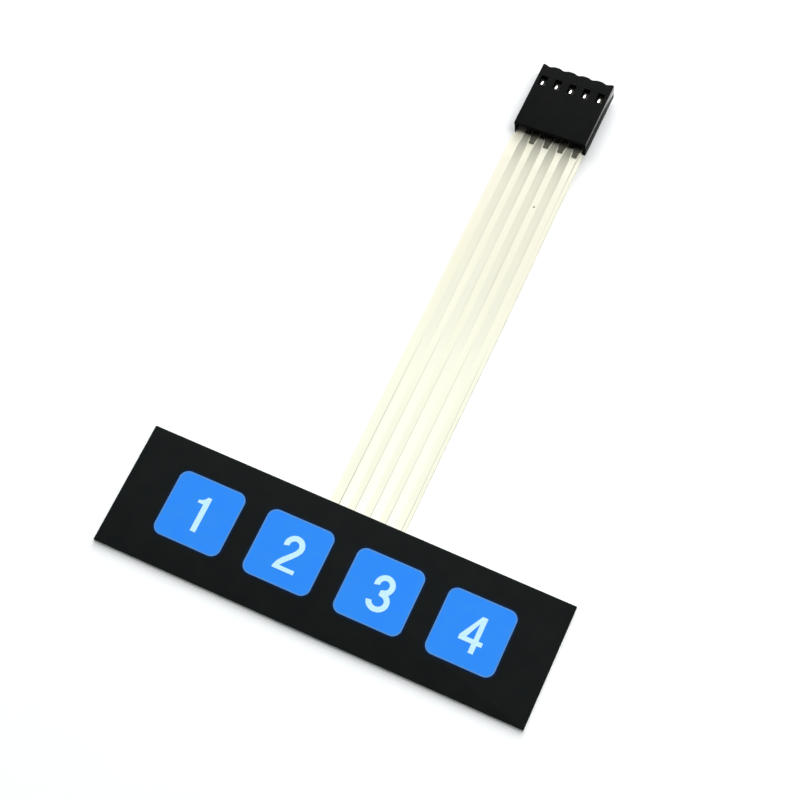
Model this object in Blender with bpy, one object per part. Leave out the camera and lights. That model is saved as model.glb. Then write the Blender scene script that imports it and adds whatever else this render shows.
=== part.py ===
"""Self-adhesive membrane keypad: four keys in a row, a film tail and a five-way receptacle.

Metres, +Z up. X runs along the row of keys and Y from the panel towards the connector. The
origin is the centre of the panel's back, on the surface that the keypad lies on.
"""

import math

import bmesh
import bpy

MM = 0.001

# Panel outline
PANEL_LENGTH = 70.5 * MM
PANEL_DEPTH = 20.5 * MM
PANEL_CORNER_RADIUS = 0.15 * MM

# Layers of the laminate, from the back to the front
LINER_THICKNESS = 0.10 * MM
REAR_ADHESIVE_THICKNESS = 0.05 * MM
FILM_THICKNESS = 0.125 * MM
SPACER_THICKNESS = 0.15 * MM
CONTACT_FILM_THICKNESS = 0.10 * MM
OVERLAY_ADHESIVE_THICKNESS = 0.05 * MM
OVERLAY_THICKNESS = 0.175 * MM
GLUE_LINE = 0.005 * MM
INK_HEIGHT = 0.02 * MM

# Keys
KEY_COUNT = 4
KEY_PITCH = 15.0 * MM
KEY_SIZE = 11.1 * MM
KEY_CORNER_RADIUS = 1.5 * MM
KEY_ROW_Y = 0.12 * MM
KEY_RISE = 0.03 * MM
NUMERAL_RISE = 0.015 * MM
NUMERAL_HEIGHT = 6.0 * MM
NUMERAL_UNITS = 6.0
NUMERAL_ARC_STEPS = 14
SPACER_HOLE_DIAMETER = 9.0 * MM
VENT_CHANNEL_WIDTH = 0.8 * MM
SHORTING_PAD_DIAMETER = 7.0 * MM
ELECTRODE_DIAMETER = 6.4 * MM
ELECTRODE_SPLIT = 0.6 * MM

# Film tail
WAYS = 5
WAY_PITCH = 2.54 * MM
TAIL_WIDTH = 12.7 * MM
TAIL_LENGTH = 72.2 * MM
TAIL_X_AT_PANEL = 0.6 * MM
TAIL_MARGIN_SHIFT = 0.12 * MM
TAIL_DROP_LENGTH = 5.0 * MM
TAIL_RISE_LENGTH = 40.0 * MM
TRACE_WIDTH = 1.1 * MM
TRACE_HEIGHT = 0.03 * MM
PAD_WIDTH = 1.46 * MM
PAD_SETBACK = 0.9 * MM
PAD_TAPER_LENGTH = 1.7 * MM
PAD_TAPER_STEPS = 4
TAIL_PITCH_OF_SECTIONS = 1.6 * MM
SHOULDER_LENGTH = 0.6 * MM
SHOULDER_CLEARANCE = 0.15 * MM

# Receptacle housing, in its own frame: Y from the rear to the mating end, Z up from its underside
HOUSING_LENGTH = 12.7 * MM
HOUSING_THICKNESS = 3.2 * MM
HOUSING_SIDE_MARGIN = 1.27 * MM
HOUSING_EDGE = 0.12 * MM
HOUSING_X = 0.45 * MM
HOUSING_ROLL = math.radians(5.5)
FLUTE_DEPTH = 0.25 * MM
FLUTE_WIDTH = 1.9 * MM
FLUTE_STEPS = 8
CAVITY_WIDTH = 1.8 * MM
CAVITY_FLOOR = 0.4 * MM
CAVITY_ROOF = 0.55 * MM
FRONT_WALL = 1.5 * MM
PIN_HOLE = 0.95 * MM
LEAD_IN_WIDTH = 1.7 * MM
LEAD_IN_DEPTH = 0.45 * MM
WINDOW_WIDTH = 1.2 * MM
WINDOW_LENGTH = 1.9 * MM
WINDOW_FROM_FRONT = 2.3 * MM
SIDE_GROOVE_HEIGHT = 0.3 * MM
SIDE_GROOVE_DEPTH = 0.15 * MM
SIDE_GROOVE_LENGTH = 8.2 * MM
SLOT_FLOOR = 0.5 * MM
SLOT_HEIGHT = 0.55 * MM
SLOT_SIDE_WALL = 0.4 * MM
FILM_INSERTION = 5.6 * MM
FILM_CLEARANCE = 0.1 * MM

# Terminals
TERMINAL_GAP = 0.02 * MM
TERMINAL_STOCK = 0.18 * MM
BOX_WIDTH = 1.5 * MM
BOX_HEIGHT = 1.6 * MM
BOX_LENGTH = 4.7 * MM
BOX_END_CLEARANCE = 0.2 * MM
STRIP_WIDTH = 1.24 * MM
TAB_WIDTH = 0.88 * MM
TAB_REACH = 1.5 * MM
TAB_SQUARE_LENGTH = 0.7 * MM
FIRST_TAB_SETBACK = 2.0 * MM
WING_LENGTH = 1.1 * MM
WING_HEIGHT = 0.75 * MM
WING_CURL_RADIUS = 0.25 * MM
WING_CURL_ANGLE = math.radians(120)
WING_CURL_STEPS = 5
WING_STARTS = (2.6 * MM, 4.4 * MM)
LANCE_WIDTH = 0.56 * MM
LANCE_CLEARANCE = 0.12 * MM
LANCE_STEPS = 6

OVERCUT = 1.0 * MM
WELD = 0.05 * MM


def clear_scene():
    """Remove everything that the file starts with."""
    for obj in list(bpy.data.objects):
        bpy.data.objects.remove(obj)


def material(name, rgb, roughness, metallic=0.0, alpha=1.0):
    """A plain Principled material."""
    made = bpy.data.materials.new(name)
    made.use_nodes = True
    shader = made.node_tree.nodes["Principled BSDF"]
    shader.inputs["Base Color"].default_value = (*rgb, 1.0)
    shader.inputs["Roughness"].default_value = roughness
    shader.inputs["Metallic"].default_value = metallic
    shader.inputs["Alpha"].default_value = alpha
    made.diffuse_color = (*rgb, alpha)
    return made


def new_object(name, bm, *materials):
    """An object in the scene that holds the bmesh."""
    bmesh.ops.recalc_face_normals(bm, faces=bm.faces)
    mesh = bpy.data.meshes.new(name)
    bm.to_mesh(mesh)
    bm.free()
    for each in materials:
        mesh.materials.append(each)
    obj = bpy.data.objects.new(name, mesh)
    bpy.context.scene.collection.objects.link(obj)
    return obj


def rounded_rectangle(length, depth, radius, centre=(0.0, 0.0), steps=3):
    """Points of a rounded rectangle, anticlockwise from its lower left corner."""
    points = []
    for quarter, (sx, sy) in enumerate(((-1, -1), (1, -1), (1, 1), (-1, 1))):
        cx = centre[0] + sx * (length / 2 - radius)
        cy = centre[1] + sy * (depth / 2 - radius)
        for step in range(steps + 1):
            angle = math.pi + (quarter + step / steps) * math.pi / 2
            points.append((cx + radius * math.cos(angle), cy + radius * math.sin(angle)))
    return points


def arc(centre, radii, start, end):
    """Points of an elliptical arc between two angles, in degrees."""
    shares = [step / NUMERAL_ARC_STEPS for step in range(NUMERAL_ARC_STEPS + 1)]
    angles = [math.radians(start + (end - start) * share) for share in shares]
    return [(centre[0] + radii[0] * math.cos(a), centre[1] + radii[1] * math.sin(a)) for a in angles]


def circle(radius, centre, steps=32):
    """Points of a circle, anticlockwise."""
    angles = (2 * math.pi * step / steps for step in range(steps))
    return [(centre[0] + radius * math.cos(a), centre[1] + radius * math.sin(a)) for a in angles]


def add_prism(bm, outline, low, high):
    """A closed prism over an outline in XY; returns its bottom and top faces."""
    bottom = [bm.verts.new((x, y, low)) for x, y in outline]
    top = [bm.verts.new((x, y, high)) for x, y in outline]
    under = bm.faces.new(bottom[::-1])
    over = bm.faces.new(top)
    for i in range(len(outline)):
        j = (i + 1) % len(outline)
        bm.faces.new((bottom[i], bottom[j], top[j], top[i]))
    return under, over


def add_block(bm, x_span, y_span, z_span):
    """A closed rectangular block."""
    (x0, x1), (y0, y1) = x_span, y_span
    return add_prism(bm, [(x0, y0), (x1, y0), (x1, y1), (x0, y1)], *z_span)


def helper(name, bm):
    """A cutter or an addition that a Boolean uses: drawn as wire and left out of the model."""
    obj = new_object(name, bm)
    obj.hide_render = True
    obj.display_type = "WIRE"
    return obj


def boolean(obj, other, operation):
    """Cut from obj, or join to it, the other object."""
    modifier = obj.modifiers.new(other.name, "BOOLEAN")
    modifier.operation = operation
    modifier.solver = "EXACT"
    modifier.object = other


def stack_levels():
    """Bottom and top of each layer, by node name."""
    layers = (
        ("release_liner", LINER_THICKNESS, GLUE_LINE),
        ("rear_adhesive", REAR_ADHESIVE_THICKNESS, GLUE_LINE),
        ("circuit_film", FILM_THICKNESS, INK_HEIGHT + GLUE_LINE),
        ("spacer", SPACER_THICKNESS, GLUE_LINE),
        ("contact_film", CONTACT_FILM_THICKNESS, GLUE_LINE),
        ("overlay_adhesive", OVERLAY_ADHESIVE_THICKNESS, GLUE_LINE),
        ("graphic_overlay", OVERLAY_THICKNESS, 0.0),
    )
    levels, height = {}, 0.0
    for name, thickness, gap in layers:
        levels[name] = (height, height + thickness)
        height += thickness + gap
    return levels


def key_centres():
    """Centre of each key along X."""
    return [(i - (KEY_COUNT - 1) / 2) * KEY_PITCH for i in range(KEY_COUNT)]


def way_centres():
    """Centre of each of the connector's ways, across it."""
    return [(i - (WAYS - 1) / 2) * WAY_PITCH for i in range(WAYS)]


def panel_outline():
    """Outline that every layer of the laminate is cut to."""
    return rounded_rectangle(PANEL_LENGTH, PANEL_DEPTH, PANEL_CORNER_RADIUS)


def make_sheet(name, finish):
    """A layer of the laminate with no features of its own."""
    bm = bmesh.new()
    add_prism(bm, panel_outline(), *stack_levels()[name])
    return new_object(name, bm, finish)


def numeral_outlines():
    """Outline of each numeral, followed by its counter's if it has one, round its key's middle.

    They are drawn NUMERAL_UNITS high.
    """
    flag = arc((-1.16, 3.20), (1.26, 1.22), -22, -88)
    one = [(-0.20, -3.12), (0.76, -3.12), (0.76, 2.83), (0.08, 2.83)] + flag + [(-1.16, 1.38), (-0.20, 1.38)]

    crown = arc((0.38, 1.20), (1.68, 1.69), 197, -24)
    back = [(1.56, -0.07), (0.92, -0.87), (0.25, -1.60), (-0.10, -2.00), (-0.36, -2.38)]
    base = [(2.16, -2.38), (2.16, -3.12), (-1.46, -3.12)]
    belly = [(-1.40, -2.62), (-1.12, -1.86), (-0.60, -1.10), (0.18, -0.28), (0.83, 0.46)]
    two = crown + back + base + belly + arc((0.38, 1.20), (0.72, 0.73), -24, 197)

    upper = arc((0.38, 1.20), (1.67, 1.69), 196, -46)
    lower = arc((0.39, -1.44), (1.86, 1.76), 46, -172)
    throat = arc((0.39, -1.44), (0.90, 0.80), -172, 92)
    three = upper + lower + throat + [(0.06, -0.50), (0.06, 0.28)] + arc((0.38, 1.20), (0.71, 0.73), -92, 196)

    stem = [(0.66, -3.12), (1.56, -3.12), (1.56, -1.68), (2.30, -1.68), (2.30, -0.88), (1.56, -0.88)]
    four = stem + [(1.56, 2.88), (0.64, 2.88), (-1.54, -0.98), (-1.54, -1.68), (0.66, -1.68)]
    window = [(0.70, -0.88), (0.70, 1.52), (-0.40, -0.88)]
    return {1: (one,), 2: (two,), 3: (three,), 4: (four, window)}


def add_wall(bm, outline, low, high, index):
    """Upright wall over a closed outline in XY; returns its lower and its upper ring of edges."""
    near = [bm.verts.new((x, y, low)) for x, y in outline]
    far = [bm.verts.new((x, y, high)) for x, y in outline]
    for i in range(len(outline)):
        bm.faces.new((near[i - 1], near[i], far[i], far[i - 1])).material_index = index
    return [[bm.edges.get((ring[i - 1], ring[i])) for i in range(len(ring))] for ring in (near, far)]


def fill(bm, rings, index):
    """Fill what lies between closed rings of edges, with the finish of that index."""
    edges = [edge for ring in rings for edge in ring]
    made = bmesh.ops.triangle_fill(bm, edges=edges, use_beauty=True, normal=(0, 0, 1))["geom"]
    for item in made:
        if isinstance(item, bmesh.types.BMFace):
            item.material_index = index


def make_overlay(black, blue, pale):
    """The printed face: one film, with keys as raised blue fields and a raised numeral on each key."""
    low, high = stack_levels()["graphic_overlay"]
    bm = bmesh.new()
    over = add_prism(bm, panel_outline(), low, high)[1]
    background = [list(over.edges)]
    bm.faces.remove(over)
    scale = NUMERAL_HEIGHT / NUMERAL_UNITS
    numerals = numeral_outlines()
    level = high + KEY_RISE
    for number, x in enumerate(key_centres(), start=1):
        square = rounded_rectangle(KEY_SIZE, KEY_SIZE, KEY_CORNER_RADIUS, (x, KEY_ROW_Y), 6)
        foot, rim = add_wall(bm, square, high, level, 1)
        background.append(foot)
        feet, tops = [], []
        for outline in numerals.get(number, ()):
            placed = [(x + u * scale, KEY_ROW_Y + v * scale) for u, v in outline]
            lower, upper = add_wall(bm, placed, level, level + NUMERAL_RISE, 2)
            feet.append(lower)
            tops.append(upper)
        fill(bm, [rim] + feet[:1], 1)
        for counter in feet[1:]:
            fill(bm, [counter], 1)
        if tops:
            fill(bm, tops, 2)
    fill(bm, background, 0)
    return new_object("graphic_overlay", bm, black, blue, pale)


def make_contact_film(finish):
    """Upper film, with a printed shorting pad under each key."""
    low, high = stack_levels()["contact_film"]
    bm = bmesh.new()
    add_prism(bm, panel_outline(), low, high)
    film = new_object("contact_film", bm, finish)
    pads = bmesh.new()
    for x in key_centres():
        ring = circle(SHORTING_PAD_DIAMETER / 2, (x, KEY_ROW_Y))
        add_prism(pads, ring, low - INK_HEIGHT, low + CONTACT_FILM_THICKNESS / 2)
    boolean(film, helper("shorting_pads", pads), "UNION")
    return film


def make_spacer(finish):
    """Layer that holds the films apart, open under each key and vented from key to key."""
    low, high = stack_levels()["spacer"]
    bm = bmesh.new()
    add_prism(bm, panel_outline(), low, high)
    spacer = new_object("spacer", bm, finish)
    holes = bmesh.new()
    for x in key_centres():
        add_prism(holes, circle(SPACER_HOLE_DIAMETER / 2, (x, KEY_ROW_Y)), low - OVERCUT, high + OVERCUT)
    boolean(spacer, helper("key_holes", holes), "DIFFERENCE")
    channel = bmesh.new()
    ends = (key_centres()[0], key_centres()[-1])
    half = VENT_CHANNEL_WIDTH / 2
    add_block(channel, ends, (KEY_ROW_Y - half, KEY_ROW_Y + half), (low - 2 * OVERCUT, high + 2 * OVERCUT))
    boolean(spacer, helper("vent_channel", channel), "DIFFERENCE")
    return spacer


def film_height_in_housing():
    """Underside of the film above the housing's underside."""
    return SLOT_FLOOR + FILM_CLEARANCE


def housing_width():
    """Width over all the ways."""
    return (WAYS - 1) * WAY_PITCH + 2 * HOUSING_SIDE_MARGIN


def housing_lift():
    """Height of the rolled housing's underside at its middle, when its low edge rests."""
    return (housing_width() / 2 - HOUSING_EDGE) * math.sin(HOUSING_ROLL)


def housing_rear():
    """Y of the housing's rear face."""
    return PANEL_DEPTH / 2 + TAIL_LENGTH


def smooth(value):
    """Ease from 0 to 1."""
    value = min(max(value, 0.0), 1.0)
    return value * value * (3 - 2 * value)


def tail_frame(y):
    """Centre of the film's underside and its roll, at a distance y along the tail."""
    edge = PANEL_DEPTH / 2
    rear = housing_rear()
    level = stack_levels()["circuit_film"][0]
    rise = smooth((y - (rear - TAIL_RISE_LENGTH)) / TAIL_RISE_LENGTH)
    drop = 1 - smooth((y - edge) / TAIL_DROP_LENGTH)
    entry = film_height_in_housing()
    x_end = HOUSING_X - entry * math.sin(HOUSING_ROLL)
    z_end = housing_lift() + entry * math.cos(HOUSING_ROLL)
    along = min(max((y - edge) / TAIL_LENGTH, 0.0), 1.0)
    x = TAIL_X_AT_PANEL + (x_end - TAIL_X_AT_PANEL) * along
    return x, level * drop + z_end * rise, HOUSING_ROLL * rise


def tail_edges(y):
    """Left and right edge of the film across the tail, which narrows to enter the housing."""
    inside = housing_width() / 2 - SLOT_SIDE_WALL - FILM_CLEARANCE
    start = housing_rear() - SHOULDER_CLEARANCE - SHOULDER_LENGTH
    blend = min(max((y - start) / SHOULDER_LENGTH, 0.0), 1.0)
    left = -TAIL_WIDTH / 2 + TAIL_MARGIN_SHIFT
    right = TAIL_WIDTH / 2 + TAIL_MARGIN_SHIFT
    return left + (-inside - left) * blend, right + (inside - right) * blend


def trace_width(y):
    """Width of each trace at y: it widens to a pad for the crimp."""
    taper_start = housing_rear() - PAD_SETBACK - PAD_TAPER_LENGTH
    return TRACE_WIDTH + (PAD_WIDTH - TRACE_WIDTH) * smooth((y - taper_start) / PAD_TAPER_LENGTH)


def tail_section(y):
    """Points round the film at y, from the lower left: its underside, then its face and traces."""
    left, right = tail_edges(y)
    flat = [(left, 0.0), (right, 0.0), (right, FILM_THICKNESS)]
    half = trace_width(y) / 2
    raised = FILM_THICKNESS + TRACE_HEIGHT
    for x in reversed(way_centres()):
        left_side, right_side = x - half, x + half
        flat += [(right_side, FILM_THICKNESS), (right_side, raised)]
        flat += [(left_side, raised), (left_side, FILM_THICKNESS)]
    flat.append((left, FILM_THICKNESS))
    cx, cz, roll = tail_frame(y)
    c, s = math.cos(roll), math.sin(roll)
    return [(cx + u * c - w * s, y, cz + u * s + w * c) for u, w in flat]


def tail_stations():
    """Distances along the tail where its section is set, close together where it bends."""
    edge, rear = PANEL_DEPTH / 2, housing_rear()
    shoulder = rear - SHOULDER_CLEARANCE - SHOULDER_LENGTH
    taper = rear - PAD_SETBACK - PAD_TAPER_LENGTH
    bends = ((edge, edge + TAIL_DROP_LENGTH), (rear - TAIL_RISE_LENGTH, taper))
    stations = []
    for start, end in bends:
        count = max(4, round((end - start) / TAIL_PITCH_OF_SECTIONS))
        stations += [start + (end - start) * i / count for i in range(count + 1)]
    stations += [taper + PAD_TAPER_LENGTH * i / PAD_TAPER_STEPS for i in range(1, PAD_TAPER_STEPS + 1)]
    return sorted(stations + [shoulder, shoulder + SHOULDER_LENGTH, rear, rear + FILM_INSERTION])


def make_circuit_film(finish):
    """Lower film: the panel's circuit and the tail, in one piece."""
    low, high = stack_levels()["circuit_film"]
    stations = tail_stations()
    bm = bmesh.new()
    section = [bm.verts.new(point) for point in tail_section(stations[0])]
    lower_left, lower_right, upper_right = section[:3]
    traces, upper_left = section[3:-1], section[-1]
    ridges = [traces[i:i + 4] for i in range(0, len(traces), 4)]

    outline = panel_outline()
    corner = len(outline) // 4
    bottom = [bm.verts.new((x, y, low)) for x, y in outline]
    top = [bm.verts.new((x, y, high)) for x, y in outline]
    feet = [vert for ridge in ridges for vert in (ridge[0], ridge[3])]
    bm.faces.new(top[:3 * corner] + [upper_right] + feet + [upper_left] + top[3 * corner:])
    bm.faces.new((bottom[:3 * corner] + [lower_right, lower_left] + bottom[3 * corner:])[::-1])
    for i in range(len(outline)):
        j = (i + 1) % len(outline)
        if j != 3 * corner:
            bm.faces.new((bottom[i], bottom[j], top[j], top[i]))
    bm.faces.new((bottom[3 * corner - 1], lower_right, upper_right, top[3 * corner - 1]))
    bm.faces.new((lower_left, bottom[3 * corner], top[3 * corner], upper_left))
    for ridge in ridges:
        bm.faces.new(ridge)

    for y in stations[1:]:
        following = [bm.verts.new(point) for point in tail_section(y)]
        for i in range(len(section)):
            j = (i + 1) % len(section)
            bm.faces.new((section[i], section[j], following[j], following[i]))
        section = following
    bm.faces.new(section)
    film = new_object("circuit_film", bm, finish)

    electrodes = bmesh.new()
    for x in key_centres():
        for side in (-1, 1):
            ring = half_disc(ELECTRODE_DIAMETER / 2, ELECTRODE_SPLIT / 2, x, side)
            add_prism(electrodes, ring, high - FILM_THICKNESS / 2, high + INK_HEIGHT)
    boolean(film, helper("electrodes", electrodes), "UNION")
    return film


def half_disc(radius, inset, x, side, steps=12):
    """Outline of one half of a split round electrode."""
    start = math.asin(inset / radius)
    points = []
    for step in range(steps + 1):
        angle = start + (math.pi - 2 * start) * step / steps
        points.append((x + radius * math.cos(angle), KEY_ROW_Y + side * radius * math.sin(angle)))
    return points if side > 0 else points[::-1]


def housing_outline():
    """Plan of the housing: straight sides and rear, and a flute at each way of the mating face."""
    half = housing_width() / 2
    points = [(-half, 0.0), (half, 0.0), (half, HOUSING_LENGTH)]
    for x in reversed(way_centres()):
        for step in range(FLUTE_STEPS + 1):
            across = 1 - 2 * step / FLUTE_STEPS
            depth = FLUTE_DEPTH * (1 + math.cos(math.pi * across)) / 2
            points.append((x + across * FLUTE_WIDTH / 2, HOUSING_LENGTH - depth))
    points.append((-half, HOUSING_LENGTH))
    return points


def pin_height():
    """Height of the pins' axis above the housing's underside."""
    return HOUSING_THICKNESS / 2


def add_funnel(bm, x):
    """Pin hole through the front wall, with its tapered lead-in."""
    mouth = HOUSING_LENGTH - FLUTE_DEPTH
    levels = (
        (HOUSING_LENGTH - FRONT_WALL - OVERCUT, PIN_HOLE / 2),
        (mouth - LEAD_IN_DEPTH, PIN_HOLE / 2),
        (mouth, LEAD_IN_WIDTH / 2),
        (mouth + OVERCUT, LEAD_IN_WIDTH / 2),
    )
    rings = []
    for y, half in levels:
        corners = ((-half, -half), (half, -half), (half, half), (-half, half))
        rings.append([bm.verts.new((x + u, y, pin_height() + w)) for u, w in corners])
    bm.faces.new(rings[0])
    bm.faces.new(rings[-1][::-1])
    for near, far in zip(rings, rings[1:]):
        for i in range(4):
            j = (i + 1) % 4
            bm.faces.new((near[i], far[i], far[j], near[j]))


def make_housing(finish, frame):
    """Moulded receptacle: five cavities from the rear, pin holes, latch windows and the film slot."""
    bm = bmesh.new()
    under, over = add_prism(bm, housing_outline(), 0.0, HOUSING_THICKNESS)
    rims = list(under.edges) + list(over.edges)
    bmesh.ops.bevel(
        bm, geom=rims, offset=HOUSING_EDGE, segments=2, profile=0.5, affect="EDGES", clamp_overlap=True
    )
    housing = new_object("connector_housing", bm, finish)

    cavities, windows, funnels = bmesh.new(), bmesh.new(), bmesh.new()
    cavity_top = HOUSING_THICKNESS - CAVITY_ROOF
    window_end = HOUSING_LENGTH - WINDOW_FROM_FRONT
    for x in way_centres():
        sides = (x - CAVITY_WIDTH / 2, x + CAVITY_WIDTH / 2)
        add_block(cavities, sides, (-OVERCUT, HOUSING_LENGTH - FRONT_WALL), (CAVITY_FLOOR, cavity_top))
        sides = (x - WINDOW_WIDTH / 2, x + WINDOW_WIDTH / 2)
        heights = (cavity_top - WELD, HOUSING_THICKNESS + OVERCUT)
        add_block(windows, sides, (window_end - WINDOW_LENGTH, window_end), heights)
        add_funnel(funnels, x)
    slot = bmesh.new()
    reach = housing_width() / 2 - SLOT_SIDE_WALL
    heights = (SLOT_FLOOR, SLOT_FLOOR + SLOT_HEIGHT)
    add_block(slot, (-reach, reach), (-OVERCUT, FILM_INSERTION + FILM_CLEARANCE), heights)
    grooves = bmesh.new()
    middle = HOUSING_THICKNESS / 2
    heights = (middle - SIDE_GROOVE_HEIGHT / 2, middle + SIDE_GROOVE_HEIGHT / 2)
    for side in (-1, 1):
        inner = side * (housing_width() / 2 - SIDE_GROOVE_DEPTH)
        outer = side * (housing_width() / 2 + OVERCUT)
        add_block(grooves, (min(inner, outer), max(inner, outer)), (-OVERCUT, SIDE_GROOVE_LENGTH), heights)
    cutters = (("cavities", cavities), ("film_slot", slot), ("pin_holes", funnels),
               ("latch_windows", windows), ("side_grooves", grooves))
    for name, cutter in cutters:
        tool = helper(name, cutter)
        tool.parent = frame
        boolean(housing, tool, "DIFFERENCE")
    housing.parent = frame
    return housing


def terminal_base():
    """Height of a terminal's strip, just above the traces."""
    return film_height_in_housing() + FILM_THICKNESS + TRACE_HEIGHT + TERMINAL_GAP


def strip_outline(tab_end):
    """Plan of a terminal's flat strip: from its narrow tab to its receptacle."""
    box_start = HOUSING_LENGTH - FRONT_WALL - BOX_END_CLEARANCE - BOX_LENGTH
    widths = (
        (tab_end, TAB_WIDTH),
        (tab_end + TAB_SQUARE_LENGTH, TAB_WIDTH),
        (tab_end + TAB_REACH, STRIP_WIDTH),
        (box_start + WELD, STRIP_WIDTH),
    )
    right = [(width / 2, y) for y, width in widths]
    left = [(-width / 2, y) for y, width in reversed(widths)]
    return right + left


def add_tube(bm, y_span):
    """The terminal's receptacle: a folded box, open at both ends."""
    base = terminal_base()
    rings = []
    for y in y_span:
        for inset in (0.0, TERMINAL_STOCK):
            x0, x1 = -BOX_WIDTH / 2 + inset, BOX_WIDTH / 2 - inset
            z0, z1 = base + inset, base + BOX_HEIGHT - inset
            rings.append([bm.verts.new(p) for p in ((x0, y, z0), (x1, y, z0), (x1, y, z1), (x0, y, z1))])
    outer_near, inner_near, outer_far, inner_far = rings
    for i in range(4):
        j = (i + 1) % 4
        bm.faces.new((outer_near[i], outer_near[j], inner_near[j], inner_near[i]))
        bm.faces.new((outer_far[i], inner_far[i], inner_far[j], outer_far[j]))
        bm.faces.new((outer_near[i], outer_far[i], outer_far[j], outer_near[j]))
        bm.faces.new((inner_near[i], inner_near[j], inner_far[j], inner_far[i]))


def add_lance(bm):
    """Latch tongue, curved up out of the receptacle's roof towards the tail, in the window."""
    roof = terminal_base() + BOX_HEIGHT
    window_end = HOUSING_LENGTH - WINDOW_FROM_FRONT
    root = window_end - WELD
    tip = window_end - WINDOW_LENGTH + LANCE_CLEARANCE
    start = roof - WELD
    rise = HOUSING_THICKNESS - LANCE_CLEARANCE - start
    thickness = TERMINAL_STOCK - 2 * WELD
    face = []
    for step in range(LANCE_STEPS + 1):
        share = step / LANCE_STEPS
        face.append((root + (tip - root) * share, start + rise * smooth(share)))
    side = face + [(y, z - thickness) for y, z in reversed(face)]
    add_sweep(bm, [(-LANCE_WIDTH / 2, y, z) for y, z in side], (LANCE_WIDTH, 0.0, 0.0))


def add_sweep(bm, outline, shift):
    """A closed solid between a planar outline and its copy at the shift."""
    near = [bm.verts.new(point) for point in outline]
    far = [bm.verts.new([c + d for c, d in zip(point, shift)]) for point in outline]
    bm.faces.new(near[::-1])
    bm.faces.new(far)
    for i in range(len(outline)):
        j = (i + 1) % len(outline)
        bm.faces.new((near[i], near[j], far[j], far[i]))


def wing_section(side):
    """Section of a crimp wing: it stands on the strip's edge and curls inwards."""
    middle = STRIP_WIDTH / 2 - TERMINAL_STOCK / 2
    foot = terminal_base() + TERMINAL_STOCK / 2
    bend = terminal_base() + WING_HEIGHT - WING_CURL_RADIUS
    outer = [(middle + TERMINAL_STOCK / 2, foot)]
    inner = [(middle - TERMINAL_STOCK / 2, foot)]
    for step in range(WING_CURL_STEPS + 1):
        angle = WING_CURL_ANGLE * step / WING_CURL_STEPS
        for line, offset in ((outer, TERMINAL_STOCK / 2), (inner, -TERMINAL_STOCK / 2)):
            radius = WING_CURL_RADIUS + offset
            across = middle - WING_CURL_RADIUS + radius * math.cos(angle)
            line.append((across, bend + radius * math.sin(angle)))
    return [(side * x, z) for x, z in outer + inner[::-1]]


def make_terminal(number, x, finish, frame):
    """One crimp terminal: receptacle, latch lance, strip with crimp wings, and its cut-off tab."""
    base = terminal_base()
    tab_end = FIRST_TAB_SETBACK if number == 1 else -TAB_REACH
    strip = bmesh.new()
    add_prism(strip, strip_outline(tab_end), base, base + TERMINAL_STOCK)
    terminal = new_object(f"terminal_{number}", strip, finish)

    box_end = HOUSING_LENGTH - FRONT_WALL - BOX_END_CLEARANCE
    tube, lance, wings = bmesh.new(), bmesh.new(), bmesh.new()
    add_tube(tube, (box_end - BOX_LENGTH, box_end))
    add_lance(lance)
    for start in WING_STARTS:
        for side in (-1, 1):
            outline = [(u, start, w) for u, w in wing_section(side)]
            add_sweep(wings, outline, (0.0, WING_LENGTH, 0.0))
    for name, addition in (("receptacle", tube), ("lance", lance), ("wings", wings)):
        tool = helper(f"{name}_{number}", addition)
        tool.parent = frame
        tool.location.x = x
        boolean(terminal, tool, "UNION")
    terminal.parent = frame
    terminal.location.x = x
    return terminal


def make_connector_frame():
    """Empty at the middle of the housing's underside, at its rear, that carries the connector."""
    frame = bpy.data.objects.new("connector_frame", None)
    frame.location = (HOUSING_X, housing_rear(), housing_lift())
    frame.rotation_euler = (0.0, -HOUSING_ROLL, 0.0)
    bpy.context.scene.collection.objects.link(frame)
    return frame


def main():
    """Build the keypad."""
    clear_scene()
    black_print = material("black_print", (0.011, 0.013, 0.013), 0.5)
    blue_print = material("blue_print", (0.030, 0.270, 0.930), 0.5)
    numeral_print = material("numeral_print", (0.60, 0.87, 1.0), 0.5)
    clear_film = material("clear_film", (0.90, 0.90, 0.84), 0.25, alpha=0.6)
    milky_film = material("milky_film", (0.80, 0.80, 0.78), 0.4)
    adhesive = material("adhesive", (0.78, 0.78, 0.74), 0.6)
    liner_paper = material("liner_paper", (0.86, 0.86, 0.84), 0.7)
    black_plastic = material("black_plastic", (0.011, 0.012, 0.012), 0.35)
    tin = material("tin", (0.60, 0.59, 0.56), 0.3, metallic=1.0)

    make_sheet("release_liner", liner_paper)
    make_sheet("rear_adhesive", adhesive)
    make_circuit_film(clear_film)
    make_spacer(milky_film)
    make_contact_film(milky_film)
    make_sheet("overlay_adhesive", adhesive)
    make_overlay(black_print, blue_print, numeral_print)

    frame = make_connector_frame()
    make_housing(black_plastic, frame)
    for number, x in enumerate(way_centres(), start=1):
        make_terminal(number, x, tin, frame)


main()
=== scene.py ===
"""Looks of the self-adhesive keypad: printed laminate, film tail and five-way receptacle.

Metres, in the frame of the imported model: X along the keys, Y from the panel to the connector, Z up.
"""

import logging
import math
from contextlib import contextmanager
from dataclasses import dataclass, field
from enum import Enum
from typing import Callable, Iterator, Sequence

import bmesh
import bpy
from bpy.types import Material, MeshVertex, Node, NodeSocket, NodeTree, Object
from mathutils import Matrix, Quaternion, Vector


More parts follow.
